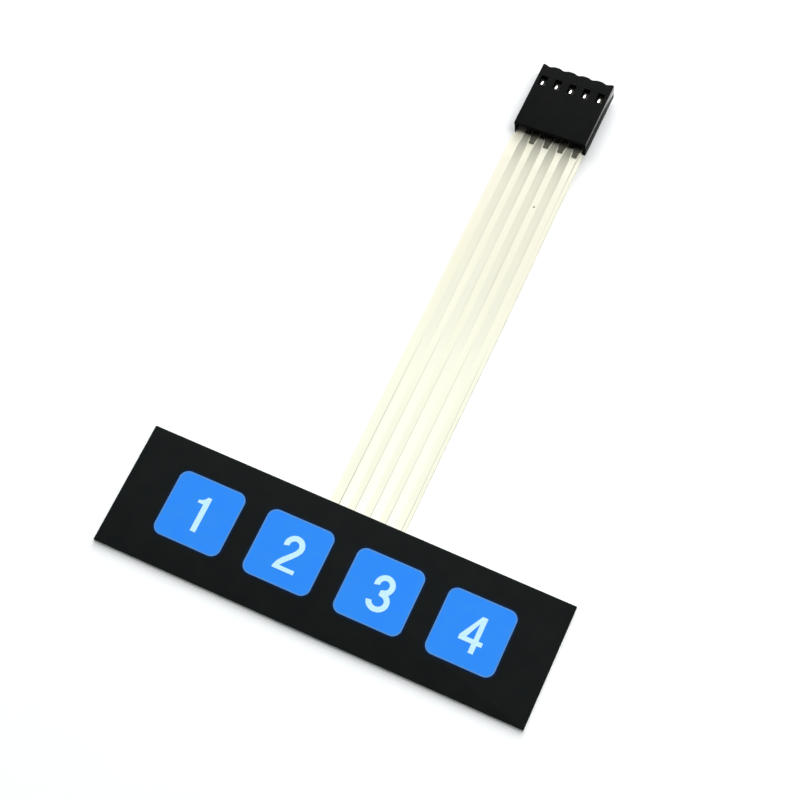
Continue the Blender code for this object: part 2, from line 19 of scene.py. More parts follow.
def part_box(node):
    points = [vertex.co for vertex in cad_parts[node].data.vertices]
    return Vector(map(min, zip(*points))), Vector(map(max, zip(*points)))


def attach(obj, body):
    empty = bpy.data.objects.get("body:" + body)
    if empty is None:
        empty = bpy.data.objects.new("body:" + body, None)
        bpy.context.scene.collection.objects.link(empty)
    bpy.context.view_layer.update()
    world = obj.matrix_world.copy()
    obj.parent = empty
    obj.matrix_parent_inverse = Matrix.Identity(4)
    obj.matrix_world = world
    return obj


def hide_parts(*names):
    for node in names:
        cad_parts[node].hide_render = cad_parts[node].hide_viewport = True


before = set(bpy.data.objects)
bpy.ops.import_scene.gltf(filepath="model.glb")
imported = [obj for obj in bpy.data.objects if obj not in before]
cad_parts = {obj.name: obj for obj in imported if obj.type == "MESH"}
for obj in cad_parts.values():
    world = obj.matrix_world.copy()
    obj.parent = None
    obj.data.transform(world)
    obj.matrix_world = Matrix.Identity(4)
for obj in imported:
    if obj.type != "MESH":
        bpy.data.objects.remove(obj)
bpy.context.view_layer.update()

MM = 0.001
BODY = "root"
LOG = logging.getLogger("keypad")

Rgb = tuple[float, float, float]
Point = tuple[float, float]

# The range of a mask, and how far along an axis a direction must point to count as along it.
UNIT: Point = (0.0, 1.0)
UPRIGHT = 0.9

# Tolerances: for an edge's place, for a corner's place, and for corners that are merged.
NEAR = MM / 10
HAIR = MM / 100
MERGE = MM / 1000


class Slot(Enum):
    """Material slots of the record."""

    CLEAR_FILM = "clear_film"
    BLACK_PRINT = "black_print"
    BLUE_PRINT = "blue_print"
    NUMERAL_PRINT = "numeral_print"
    TRACE_PRINT = "trace_print"
    BLACK_PLASTIC = "black_plastic"
    TIN = "tin"


class Element(Enum):
    """Kind of mesh element that an operator works on."""

    VERT = "VERT"
    EDGE = "EDGE"
    FACE = "FACE"


def activate(obj: Object) -> None:
    """Make obj the active object and the only one selected.

    Args:
        obj: The object that the next operators work on.
    """
    bpy.ops.object.select_all(action="DESELECT")
    obj.select_set(True)
    bpy.context.view_layer.objects.active = obj


@contextmanager
def editing(obj: Object, element: Element) -> Iterator[None]:
    """Edit mode on obj with nothing selected.

    Args:
        obj: The mesh object to edit.
        element: What the selection mode picks.
    """
    activate(obj)
    bpy.ops.object.mode_set(mode="EDIT")
    bpy.ops.mesh.select_mode(type=element.value)
    bpy.ops.mesh.select_all(action="DESELECT")
    try:
        yield
    finally:
        bpy.ops.object.mode_set(mode="OBJECT")


def pick(obj: Object, element: Element, test: Callable[[Vector, Vector], bool]) -> int:
    """Select, in edit mode, the elements that pass a test.

    Args:
        obj: The object in edit mode.
        element: Kind of element.
        test: Takes an element's middle and its normal, or an edge's direction.

    Returns:
        How many were selected.
    """
    bpy.ops.mesh.select_all(action="DESELECT")
    shape = bmesh.from_edit_mesh(obj.data)
    found = 0
    if element is Element.VERT:
        described = [(vert, vert.co, vert.normal) for vert in shape.verts]
    elif element is Element.EDGE:
        described = []
        for edge in shape.edges:
            first, second = (vert.co for vert in edge.verts)
            described.append((edge, (first + second) / 2, (second - first).normalized()))
    else:
        described = [(face, face.calc_center_median(), face.normal) for face in shape.faces]
    for item, middle, direction in described:
        if test(middle, direction):
            item.select_set(True)
            found += 1
    shape.select_flush_mode()
    bmesh.update_edit_mesh(obj.data)
    return found


def settle(obj: Object) -> Object:
    """Move an object's place, turn and scale into its mesh.

    Args:
        obj: The object.

    Returns:
        The same object, at the origin, unturned and unscaled.
    """
    activate(obj)
    bpy.ops.object.transform_apply(location=True, rotation=True, scale=True)
    return obj


def add_block(name: str, low: Sequence[float], high: Sequence[float]) -> Object:
    """A cube primitive added at its size and place.

    Args:
        name: The object's name.
        low: Its lowest corner.
        high: Its highest corner.

    Returns:
        The block, settled.
    """
    low_corner, high_corner = Vector(low), Vector(high)
    bpy.ops.object.select_all(action="DESELECT")
    bpy.ops.mesh.primitive_cube_add(size=1, location=(low_corner + high_corner) / 2)
    block = bpy.context.object
    block.name = name
    block.scale = high_corner - low_corner
    return settle(block)


def add_ribbon(name: str, low: Sequence[float], high: Sequence[float], level: float, pieces: int) -> Object:
    """A flat grid primitive, one face wide and divided along Y.

    Args:
        name: The object's name.
        low: Its lower left corner.
        high: Its upper right corner.
        level: Its height.
        pieces: How many faces it has along Y.

    Returns:
        The ribbon, settled.
    """
    middle = ((low[0] + high[0]) / 2, (low[1] + high[1]) / 2, level)
    bpy.ops.object.select_all(action="DESELECT")
    bpy.ops.mesh.primitive_grid_add(x_subdivisions=1, y_subdivisions=pieces, size=1, location=middle)
    ribbon = bpy.context.object
    ribbon.name = name
    ribbon.scale = (high[0] - low[0], high[1] - low[1], 1)
    return settle(ribbon)


def apply_modifier(obj: Object, kind: str, **settings: object) -> None:
    """Add one modifier with its settings and apply it.

    Args:
        obj: The object it works on.
        kind: Blender's name of the modifier type.
        **settings: The modifier's properties.
    """
    activate(obj)
    modifier = obj.modifiers.new(kind.title(), kind)
    for key, value in settings.items():
        setattr(modifier, key, value)
    bpy.ops.object.modifier_apply(modifier=modifier.name)


def thicken(obj: Object, thickness: float) -> None:
    """Give a flat piece that faces up a thickness, upwards from where it is.

    Args:
        obj: The flat piece.
        thickness: Its thickness.
    """
    apply_modifier(obj, "SOLIDIFY", thickness=thickness, offset=1.0, use_even_offset=False)


def combine(obj: Object, other: Object, operation: str) -> None:
    """Cut a helper from obj or weld it on, and remove the helper.

    Args:
        obj: The piece that stays.
        other: The helper.
        operation: DIFFERENCE or UNION.
    """
    apply_modifier(obj, "BOOLEAN", object=other, operation=operation, solver="EXACT")
    bpy.data.objects.remove(other)


def join(first: Object, *others: Object) -> Object:
    """Join objects into the first one.

    Args:
        first: The object that stays.
        *others: Those that become part of it.

    Returns:
        The first object.
    """
    activate(first)
    for other in others:
        other.select_set(True)
    bpy.ops.object.join()
    return first


def copy_of(obj: Object, name: str, offset: Sequence[float] = (0.0, 0.0, 0.0)) -> Object:
    """A copy with a mesh of its own.

    Args:
        obj: The piece to copy.
        name: The copy's name.
        offset: How far the copy lies from the piece.

    Returns:
        The copy.
    """
    activate(obj)
    bpy.ops.object.duplicate(linked=False)
    twin = bpy.context.object
    twin.name = name
    twin.data.name = name
    twin.data.transform(Matrix.Translation(Vector(offset)))
    return twin


def discard(*pieces: Object) -> None:
    """Remove pieces that were only copied from."""
    for piece in pieces:
        bpy.data.objects.remove(piece)


def face_outwards(obj: Object) -> None:
    """Merge doubled corners and turn every face outwards.

    Args:
        obj: The closed piece.
    """
    with editing(obj, Element.VERT):
        bpy.ops.mesh.select_all(action="SELECT")
        bpy.ops.mesh.remove_doubles(threshold=MERGE)
        bpy.ops.mesh.normals_make_consistent(inside=False)


def smooth_by_angle(obj: Object, degrees: float = 35) -> None:
    """Shade smooth, with edges sharper than the angle kept crisp."""
    activate(obj)
    bpy.ops.object.shade_smooth_by_angle(angle=math.radians(degrees))


def hand_over(obj: Object, slot: Slot, material: Material, *replaced: str) -> Object:
    """Dress a finished piece and tie it to the frame.

    Args:
        obj: The piece.
        slot: The record's slot that its finish comes from; it is only logged.
        material: Its main material, put first.
        *replaced: CAD nodes that it stands for.

    Returns:
        The piece.
    """
    if obj.data.materials:
        obj.data.materials[0] = material
    else:
        obj.data.materials.append(material)
    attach(obj, BODY)
    if replaced:
        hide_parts(*replaced)
    LOG.info("%s: %d faces, %s", obj.name, len(obj.data.polygons), slot.value)
    return obj


def ease(value: float) -> float:
    """Ease from 0 to 1, held at both ends."""
    held = min(max(value, 0.0), 1.0)
    return held * held * (3 - 2 * held)


@dataclass
class NodeBoard:
    """Adds nodes to one tree, from left to right."""

    tree: NodeTree
    column: int = 0

    def add(self, kind: str, **settings: object) -> Node:
        """Add a node.

        Args:
            kind: Its type, such as ShaderNodeMath.
            **settings: Its properties.

        Returns:
            The node.
        """
        node = self.tree.nodes.new(kind)
        node.location = (self.column * 180, 0)
        self.column += 1
        for key, value in settings.items():
            setattr(node, key, value)
        return node

    def wire(self, source: NodeSocket, target: NodeSocket) -> None:
        """Link an output to an input."""
        self.tree.links.new(source, target)

    def feed(self, node: Node, name: str | int, value: object) -> None:
        """Link a socket to a node's input, or set the input if the value is plain.

        Args:
            node: The node.
            name: Its input's name or number.
            value: A socket, a colour or a number.
        """
        if isinstance(value, bpy.types.NodeSocket):
            self.wire(value, node.inputs[name])
        elif isinstance(value, tuple) and len(value) == 3 and node.inputs[name].type == "RGBA":
            node.inputs[name].default_value = (*value, 1.0)
        else:
            node.inputs[name].default_value = value

    def math(self, operation: str, first: object, second: object = 0.0) -> NodeSocket:
        """A Math node's output.

        Args:
            operation: Its operation.
            first: Its first value, a socket or a number.
            second: Its second value.

        Returns:
            The socket.
        """
        node = self.add("ShaderNodeMath", operation=operation)
        self.feed(node, 0, first)
        self.feed(node, 1, second)
        return node.outputs[0]

    def spread(self, value: object, span: Point, onto: Point) -> NodeSocket:
        """A Map Range node's output, held at both ends.

        Args:
            value: A socket or a number.
            span: The range that it comes from.
            onto: The range that it is mapped to.

        Returns:
            The socket.
        """
        node = self.add("ShaderNodeMapRange", clamp=True)
        self.feed(node, "Value", value)
        for name, number in zip(("From Min", "From Max", "To Min", "To Max"), (*span, *onto)):
            node.inputs[name].default_value = number
        return node.outputs[0]

    def blend(self, factor: object, first: object, second: object, how: str = "MIX") -> NodeSocket:
        """A colour mix's output.

        Args:
            factor: How much of the second colour there is.
            first: The first colour, a socket or a plain one.
            second: The second colour.
            how: The blend type.

        Returns:
            The socket.
        """
        node = self.add("ShaderNodeMix", data_type="RGBA", blend_type=how)
        self.feed(node, 0, factor)
        self.feed(node, 6, first)
        self.feed(node, 7, second)
        return node.outputs[2]

    def shared(self, tree: NodeTree, inputs: dict[str, object]) -> Node:
        """A shared group's node.

        Args:
            tree: The group.
            inputs: A socket or a number for each of its inputs.

        Returns:
            The node.
        """
        node = self.add("ShaderNodeGroup", node_tree=tree)
        for name, value in inputs.items():
            self.feed(node, name, value)
        return node

    def ramp(self, along: NodeSocket, ramp: "Ramp") -> NodeSocket:
        """The colour of a ramp at a coordinate.

        Args:
            along: The coordinate.
            ramp: The ramp.

        Returns:
            The colour's socket.
        """
        node = self.add("ShaderNodeValToRGB")
        low, high = ramp.stops[0][0], ramp.stops[-1][0]
        self.wire(self.spread(along, (low, high), UNIT), node.inputs["Fac"])
        elements = node.color_ramp.elements
        for i, (place, colour) in enumerate(ramp.stops):
            share = (place - low) / (high - low)
            element = elements[i] if i < 2 else elements.new(share)
            element.position = share
            element.color = (*colour, 1.0)
        return node.outputs["Color"]


@dataclass
class SurfaceGroups:
    """Node groups that several finishes share."""

    fine_detail: float = 3.0
    broad_detail: float = 2.0
    fine_contrast: Point = (0.30, 0.70)
    broad_contrast: Point = (0.32, 0.68)
    squeeze: float = 0.06
    made: dict[str, NodeTree] = field(default_factory=dict)

    def noise(self, board: NodeBoard, place: NodeSocket, scale: NodeSocket, detail: float) -> NodeSocket:
        """A noise's value.

        Args:
            board: The group's board.
            place: The coordinates.
            scale: How many grains there are in a metre.
            detail: How many finer layers it has.

        Returns:
            The socket with its value.
        """
        node = board.add("ShaderNodeTexNoise")
        node.inputs["Detail"].default_value = detail
        board.wire(place, node.inputs["Vector"])
        board.wire(scale, node.inputs["Scale"])
        return node.outputs["Fac"]

    def start(
        self, name: str, inputs: Sequence[tuple[str, str]], outputs: Sequence[tuple[str, str]]
    ) -> NodeBoard:
        """A new group with its sockets and its input and output nodes.

        Args:
            name: The group's name.
            inputs: Name and socket type of each input.
            outputs: Name and socket type of each output.

        Returns:
            A board to build the group on.
        """
        tree = bpy.data.node_groups.new(name, "ShaderNodeTree")
        for socket, kind in inputs:
            tree.interface.new_socket(socket, in_out="INPUT", socket_type=kind)
        for socket, kind in outputs:
            tree.interface.new_socket(socket, in_out="OUTPUT", socket_type=kind)
        self.made[name] = tree
        return NodeBoard(tree)

    def grain(self) -> NodeTree:
        """Fine grain and broad patches, each at a given size.

        Returns:
            The group.
        """
        name = "grain"
        if name in self.made:
            return self.made[name]
        board = self.start(
            name,
            (("Place", "NodeSocketVector"), ("Scale", "NodeSocketFloat"), ("Patch Scale", "NodeSocketFloat")),
            (("Grain", "NodeSocketFloat"), ("Patches", "NodeSocketFloat")),
        )
        entry = board.add("NodeGroupInput")
        fine = self.noise(board, entry.outputs["Place"], entry.outputs["Scale"], self.fine_detail)
        broad = self.noise(board, entry.outputs["Place"], entry.outputs["Patch Scale"], self.broad_detail)
        leave = board.add("NodeGroupOutput")
        board.wire(board.spread(fine, self.fine_contrast, UNIT), leave.inputs["Grain"])
        board.wire(board.spread(broad, self.broad_contrast, UNIT), leave.inputs["Patches"])
        return self.made[name]

    def streaks(self) -> NodeTree:
        """Drawn-out streaks along Y, as left by rolling, coating or drawing.

        Returns:
            The group.
        """
        name = "streaks"
        if name in self.made:
            return self.made[name]
        board = self.start(
            name,
            (("Place", "NodeSocketVector"), ("Scale", "NodeSocketFloat")),
            (("Streaks", "NodeSocketFloat"),),
        )
        entry = board.add("NodeGroupInput")
        drawn = board.add("ShaderNodeVectorMath", operation="MULTIPLY")
        drawn.inputs[1].default_value = (1.0, self.squeeze, 1.0)
        board.wire(entry.outputs["Place"], drawn.inputs[0])
        streaks = self.noise(board, drawn.outputs[0], entry.outputs["Scale"], self.broad_detail)
        leave = board.add("NodeGroupOutput")
        board.wire(board.spread(streaks, self.broad_contrast, UNIT), leave.inputs["Streaks"])
        return self.made[name]


GROUPS = SurfaceGroups()


@dataclass(frozen=True)
class Ramp:
    """Colours that a finish passes through along Y."""

    stops: tuple[tuple[float, Rgb], ...]


@dataclass(frozen=True)
class Margins:
    """Another ramp of a finish, outside a band along its middle."""

    middle: float
    half: float
    soft: float
    ramp: Ramp


@dataclass(frozen=True)
class GlossEdge:
    """A slanting line in the Y-Z plane above which a surface is glossy."""

    slope: float
    level: float
    soft: float


@dataclass(frozen=True)
class Fleck:
    """A speck of dust at one place."""

    place: tuple[float, float, float]
    radius: float
    colour: Rgb


@dataclass(frozen=True)
class Finish:
    """A procedural surface: its colour, its grain, and how both vary."""

    name: str
    colour: Rgb
    patch_colour: Rgb
    roughness: Point
    grain: float
    patch: float = 4 * MM
    bump: float = 0.002 * MM
    bump_strength: float = 0.5
    metallic: float = 0.0
    specular: float = 0.5
    coat: float = 0.0
    ramp: Ramp | None = None
    margins: Margins | None = None
    gloss_edges: tuple[GlossEdge, ...] = ()
    fleck: Fleck | None = None
    streaked: bool = False
    sheer: float = 0.0

    def build(self) -> Material:
        """Make the material.

        Returns:
            A material whose shader is a Principled BSDF.
        """
        material = bpy.data.materials.new(self.name)
        material.use_nodes = True
        shader = material.node_tree.nodes["Principled BSDF"]
        board = NodeBoard(material.node_tree)
        place = board.add("ShaderNodeTexCoord").outputs["Object"]
        sizes = {"Place": place, "Scale": 1 / self.grain, "Patch Scale": 1 / self.patch}
        grain = board.shared(GROUPS.grain(), sizes).outputs
        patches = grain["Patches"]
        if self.streaked:
            drawn = board.shared(GROUPS.streaks(), {"Place": place, "Scale": 1 / self.patch})
            patches = drawn.outputs["Streaks"]
        parts = board.add("ShaderNodeSeparateXYZ")
        board.wire(place, parts.inputs[0])
        board.wire(self.paint(board, place, parts, patches), shader.inputs["Base Color"])
        board.wire(board.spread(grain["Grain"], UNIT, self.roughness), shader.inputs["Roughness"])
        bump = board.add("ShaderNodeBump")
        relief = {"Strength": self.bump_strength, "Distance": self.bump, "Height": grain["Grain"]}
        for name, value in relief.items():
            board.feed(bump, name, value)
        board.wire(bump.outputs["Normal"], shader.inputs["Normal"])
        even = {"Metallic": self.metallic, "Specular IOR Level": self.specular, "Coat Weight": self.coat}
        for name, value in even.items():
            shader.inputs[name].default_value = value
        if self.gloss_edges:
            board.wire(self.gloss(board, parts), shader.inputs["Coat Weight"])
        if self.sheer:
            shadow = board.add("ShaderNodeLightPath").outputs["Is Shadow Ray"]
            board.wire(board.spread(shadow, UNIT, (1.0, 1.0 - self.sheer)), shader.inputs["Alpha"])
        return material

    def paint(self, board: NodeBoard, place: NodeSocket, parts: Node, patches: NodeSocket) -> NodeSocket:
        """The finish's colour: its patches, its ramp and its speck of dust.

        Args:
            board: The material's board.
            place: The coordinates.
            parts: The node that separates them.
            patches: How far the second colour has taken over.

        Returns:
            The colour's socket.
        """
        colour = board.blend(patches, self.colour, self.patch_colour)
        if self.ramp:
            colour = board.blend(1.0, colour, self.tint(board, parts), "MULTIPLY")
        if self.fleck:
            distance = board.add("ShaderNodeVectorMath", operation="DISTANCE")
            board.wire(place, distance.inputs[0])
            distance.inputs[1].default_value = self.fleck.place
            rim = (self.fleck.radius / 2, self.fleck.radius)
            dust = board.spread(distance.outputs["Value"], rim, (1.0, 0.0))
            colour = board.blend(dust, colour, self.fleck.colour)
        return colour

    def gloss(self, board: NodeBoard, parts: Node) -> NodeSocket | float:
        """The coat's weight, which is full above any of the gloss edges.

        Args:
            board: The material's board.
            parts: The node that separates the coordinates.

        Returns:
            The weight's socket.
        """
        weight: NodeSocket | float = 0.0
        for edge in self.gloss_edges:
            slant = board.math("MULTIPLY", parts.outputs["Y"], edge.slope)
            height = board.math("ADD", parts.outputs["Z"], slant)
            band = (edge.level - edge.soft, edge.level + edge.soft)
            weight = board.math("MAXIMUM", weight, board.spread(height, band, (0.0, self.coat)))
        return weight

    def tint(self, board: NodeBoard, parts: Node) -> NodeSocket:
        """The colour by which the finish is multiplied, from its ramp and its margins.

        Args:
            board: The material's board.
            parts: The node that separates the coordinates.

        Returns:
            The colour's socket.
        """
        along = parts.outputs["Y"]
        middle = board.ramp(along, self.ramp)
        if not self.margins:
            return middle
        across = board.math("ABSOLUTE", board.math("SUBTRACT", parts.outputs["X"], self.margins.middle))
        mask = board.spread(across, (self.margins.half, self.margins.half + self.margins.soft), UNIT)
        return board.blend(mask, middle, board.ramp(along, self.margins.ramp))


BLACK_OVERLAY = Finish(
    "black_overlay", (0.0072, 0.0090, 0.0088), (0.0088, 0.0106, 0.0104), (0.50, 0.64),
    grain=0.14 * MM, patch=3.0 * MM, bump=0.004 * MM, specular=0.02,
)
BLUE_KEY = Finish(
    "blue_key", (0.019, 0.244, 0.925), (0.024, 0.256, 0.890), (0.40, 0.52),
    grain=0.14 * MM, patch=2.2 * MM, bump=0.004 * MM, specular=0.1,
)
KEY_RIM = Finish(
    "key_rim", (0.085, 0.250, 0.620), (0.110, 0.270, 0.560), (0.40, 0.52),
    grain=0.14 * MM, patch=0.8 * MM, bump=0.004 * MM, specular=0.1,
)
KEY_TRAP = Finish(
    "key_trap", (0.0026, 0.0150, 0.0520), (0.0036, 0.0140, 0.0420), (0.50, 0.64),
    grain=0.14 * MM, patch=1.0 * MM, bump=0.004 * MM, specular=0.02,
)
NUMERAL = Finish(
    "numeral", (0.520, 0.830, 0.965), (0.590, 0.880, 0.975), (0.40, 0.52),
    grain=0.14 * MM, patch=0.5 * MM, bump=0.004 * MM, specular=0.1,
)
# Painted shade and light along the cream traces: a little darker towards the connector, where less light
# falls, and brighter right at the housing to offset the housing's shadow.
COVER_PAINTED_SHADE = Ramp(
    (
        (0.010, (0.922, 0.927, 0.782)), (0.040, (0.902, 0.908, 0.750)), (0.058, (0.890, 0.878, 0.725)),
        (0.072, (0.886, 0.872, 0.727)), (0.0765, (0.878, 0.863, 0.720)), (0.080, (1.0, 0.985, 0.830)),
    ),
)
FILM = Finish(
    "tail_film", (1.0, 1.0, 1.0), (0.975, 0.978, 0.960), (0.34, 0.38),
    grain=1.2 * MM, patch=4.0 * MM, bump=0.001 * MM, bump_strength=0.05,
    specular=0.35, streaked=True, sheer=0.75,
    # Painted shade: the film's front face darker, and the film darker towards the connector, standing in for
    # the shadow that the raised film and the housing cast on the floor seen through it. Its margins take the
    # traces' painted shade.
    ramp=Ramp(
        (
            (-0.0103, (0.36, 0.40, 0.41)), (-0.0098, (0.92, 0.94, 0.88)), (0.010, (0.99, 1.0, 0.88)),
            (0.030, (0.96, 0.96, 0.815)), (0.044, (0.860, 0.860, 0.723)),
            (0.050, (0.835, 0.835, 0.700)), (0.060, (0.816, 0.809, 0.673)), (0.068, (0.768, 0.758, 0.628)),
            (0.072, (0.755, 0.745, 0.613)), (0.076, (0.680, 0.670, 0.555)), (0.079, (0.560, 0.551, 0.452)),
            (0.082, (0.500, 0.490, 0.410)),
        ),
    ),
    margins=Margins(0.55 * MM, 5.55 * MM, 0.15 * MM, COVER_PAINTED_SHADE),
)
# The cream cover print, with the painted shade of its ramp and one speck of dust.
TRACE = Finish(
    "trace_print", (1.0, 1.0, 1.0), (0.965, 0.962, 0.935), (0.34, 0.46),
    grain=0.2 * MM, patch=2.0 * MM, bump=0.002 * MM, specular=0.3, streaked=True, sheer=0.75,
    ramp=COVER_PAINTED_SHADE, fleck=Fleck((3.0 * MM, 70.0 * MM, 1.28 * MM), 0.20 * MM, (0.03, 0.03, 0.02)),
)
# Painted shadow of the traces: near the panel a dark line along each trace's right edge, standing in for the
# trace's shadow on the floor seen through the clear film; towards the connector the darker shade of the gaps
# beside each trace.
TRACE_SHADOW_PAINT = Finish(
    "trace_shadow_paint", (1.0, 1.0, 1.0), (0.90, 0.90, 0.88), (0.34, 0.46),
    grain=0.1 * MM, patch=1.2 * MM, bump=0.002 * MM, streaked=True, sheer=0.75,
    ramp=Ramp(
        (
            (0.010, (0.46, 0.45, 0.34)), (0.019, (0.66, 0.65, 0.52)), (0.038, (0.68, 0.67, 0.55)),
            (0.046, (0.810, 0.810, 0.677)), (0.060, (0.800, 0.792, 0.657)), (0.068, (0.765, 0.756, 0.626)),
            (0.072, (0.750, 0.740, 0.608)), (0.076, (0.680, 0.670, 0.555)), (0.079, (0.585, 0.575, 0.470)),
            (0.082, (0.480, 0.470, 0.390)),
        ),
    ),
)
FILM_EDGE = Finish(
    "film_edge", (0.40, 0.39, 0.33), (0.72, 0.71, 0.60), (0.30, 0.42),
    grain=0.2 * MM, patch=0.9 * MM, bump=0.002 * MM,
)
FRONT_SHADE = Ramp(((-0.01026, (0.40, 0.46, 0.47)), (-0.01000, (1.0, 1.0, 1.0))))
MILKY = Finish(
    "milky_layer", (0.88, 0.90, 0.90), (0.80, 0.82, 0.82), (0.30, 0.42),
    grain=0.1 * MM, patch=1.5 * MM, ramp=FRONT_SHADE,
)
ADHESIVE = Finish(
    "adhesive_layer", (0.78, 0.80, 0.80), (0.84, 0.86, 0.86), (0.5, 0.65),
    grain=0.08 * MM, patch=0.8 * MM, bump=0.006 * MM, ramp=FRONT_SHADE,
)
# Painted shade: the liner darker than paper, so that its edge shows as a dark contact line under the panel's
# edge.
SHADED_LINER = Finish(
    "liner_paper", (0.52, 0.54, 0.54), (0.46, 0.48, 0.48), (0.55, 0.72),
    grain=0.06 * MM, patch=0.6 * MM, bump=0.008 * MM, ramp=FRONT_SHADE,
)
HOUSING_PLASTIC = Finish(
    "housing_plastic", (0.0050, 0.0060, 0.0058), (0.0066, 0.0069, 0.0067), (0.44, 0.56),
    grain=0.12 * MM, patch=2.0 * MM, bump=0.002 * MM, specular=0.03,
)
HOUSING_SIDE = Finish(
    "housing_side", (0.0060, 0.0066, 0.0062), (0.0072, 0.0074, 0.0072), (0.40, 0.52),
    grain=0.12 * MM, patch=2.0 * MM, bump=0.001 * MM, specular=0.03, coat=1.0,
    gloss_edges=(GlossEdge(0.27, 28.05 * MM, 0.15 * MM), GlossEdge(0.04, 7.27 * MM, 0.05 * MM)),
)
# Painted shade: a darker black for the rear face and the faces inside and below the cavities.
HOUSING_SHADE = Finish(
    "housing_painted_shade", (0.0036, 0.0040, 0.0032), (0.0048, 0.0050, 0.0042), (0.50, 0.62),
    grain=0.12 * MM, patch=2.0 * MM, bump=0.002 * MM, specular=0.02,
)
BRIGHT_TIN = Finish(
    "bright_tin", (0.86, 0.85, 0.82), (0.78, 0.77, 0.73), (0.16, 0.22),
    grain=0.08 * MM, patch=0.5 * MM, bump=0.0004 * MM, bump_strength=0.3, metallic=1.0, streaked=True,
)
# Painted shade: a darker, duller copy of the tin for the tabs behind the housing and the boxes under the
# windows, standing in for the shade and the dark reflections there.
SHADED_TIN = Finish(
    "tin_painted_shade", (0.150, 0.147, 0.116), (0.120, 0.117, 0.092), (0.50, 0.62),
    grain=0.08 * MM, patch=0.4 * MM, bump=0.003 * MM, metallic=0.35, streaked=True,
)


@dataclass(frozen=True)
class Softbox:
    """A square soft lamp that faces the object."""

    name: str
    azimuth: float
    elevation: float
    distance: float
    size: float
    share: float

    def build(self, target: Vector) -> Object:
        """Hang the lamp, with the power that gives its share of the plain light level on the floor.

        Args:
            target: What it faces.

        Returns:
            The lamp.
        """
        around, up = math.radians(self.azimuth), math.radians(self.elevation)
        towards = Vector((math.cos(around) * math.cos(up), math.sin(around) * math.cos(up), math.sin(up)))
        bpy.ops.object.select_all(action="DESELECT")
        bpy.ops.object.light_add(type="AREA", location=target + towards * self.distance)
        lamp = bpy.context.object
        lamp.name = self.name
        lamp.data.shape = "SQUARE"
        lamp.data.size = self.size
        lamp.data.energy = self.share * (math.pi * self.distance) ** 2 / towards.z
        lamp.rotation_euler = (-towards).to_track_quat("-Z", "Y").to_euler()
        return lamp


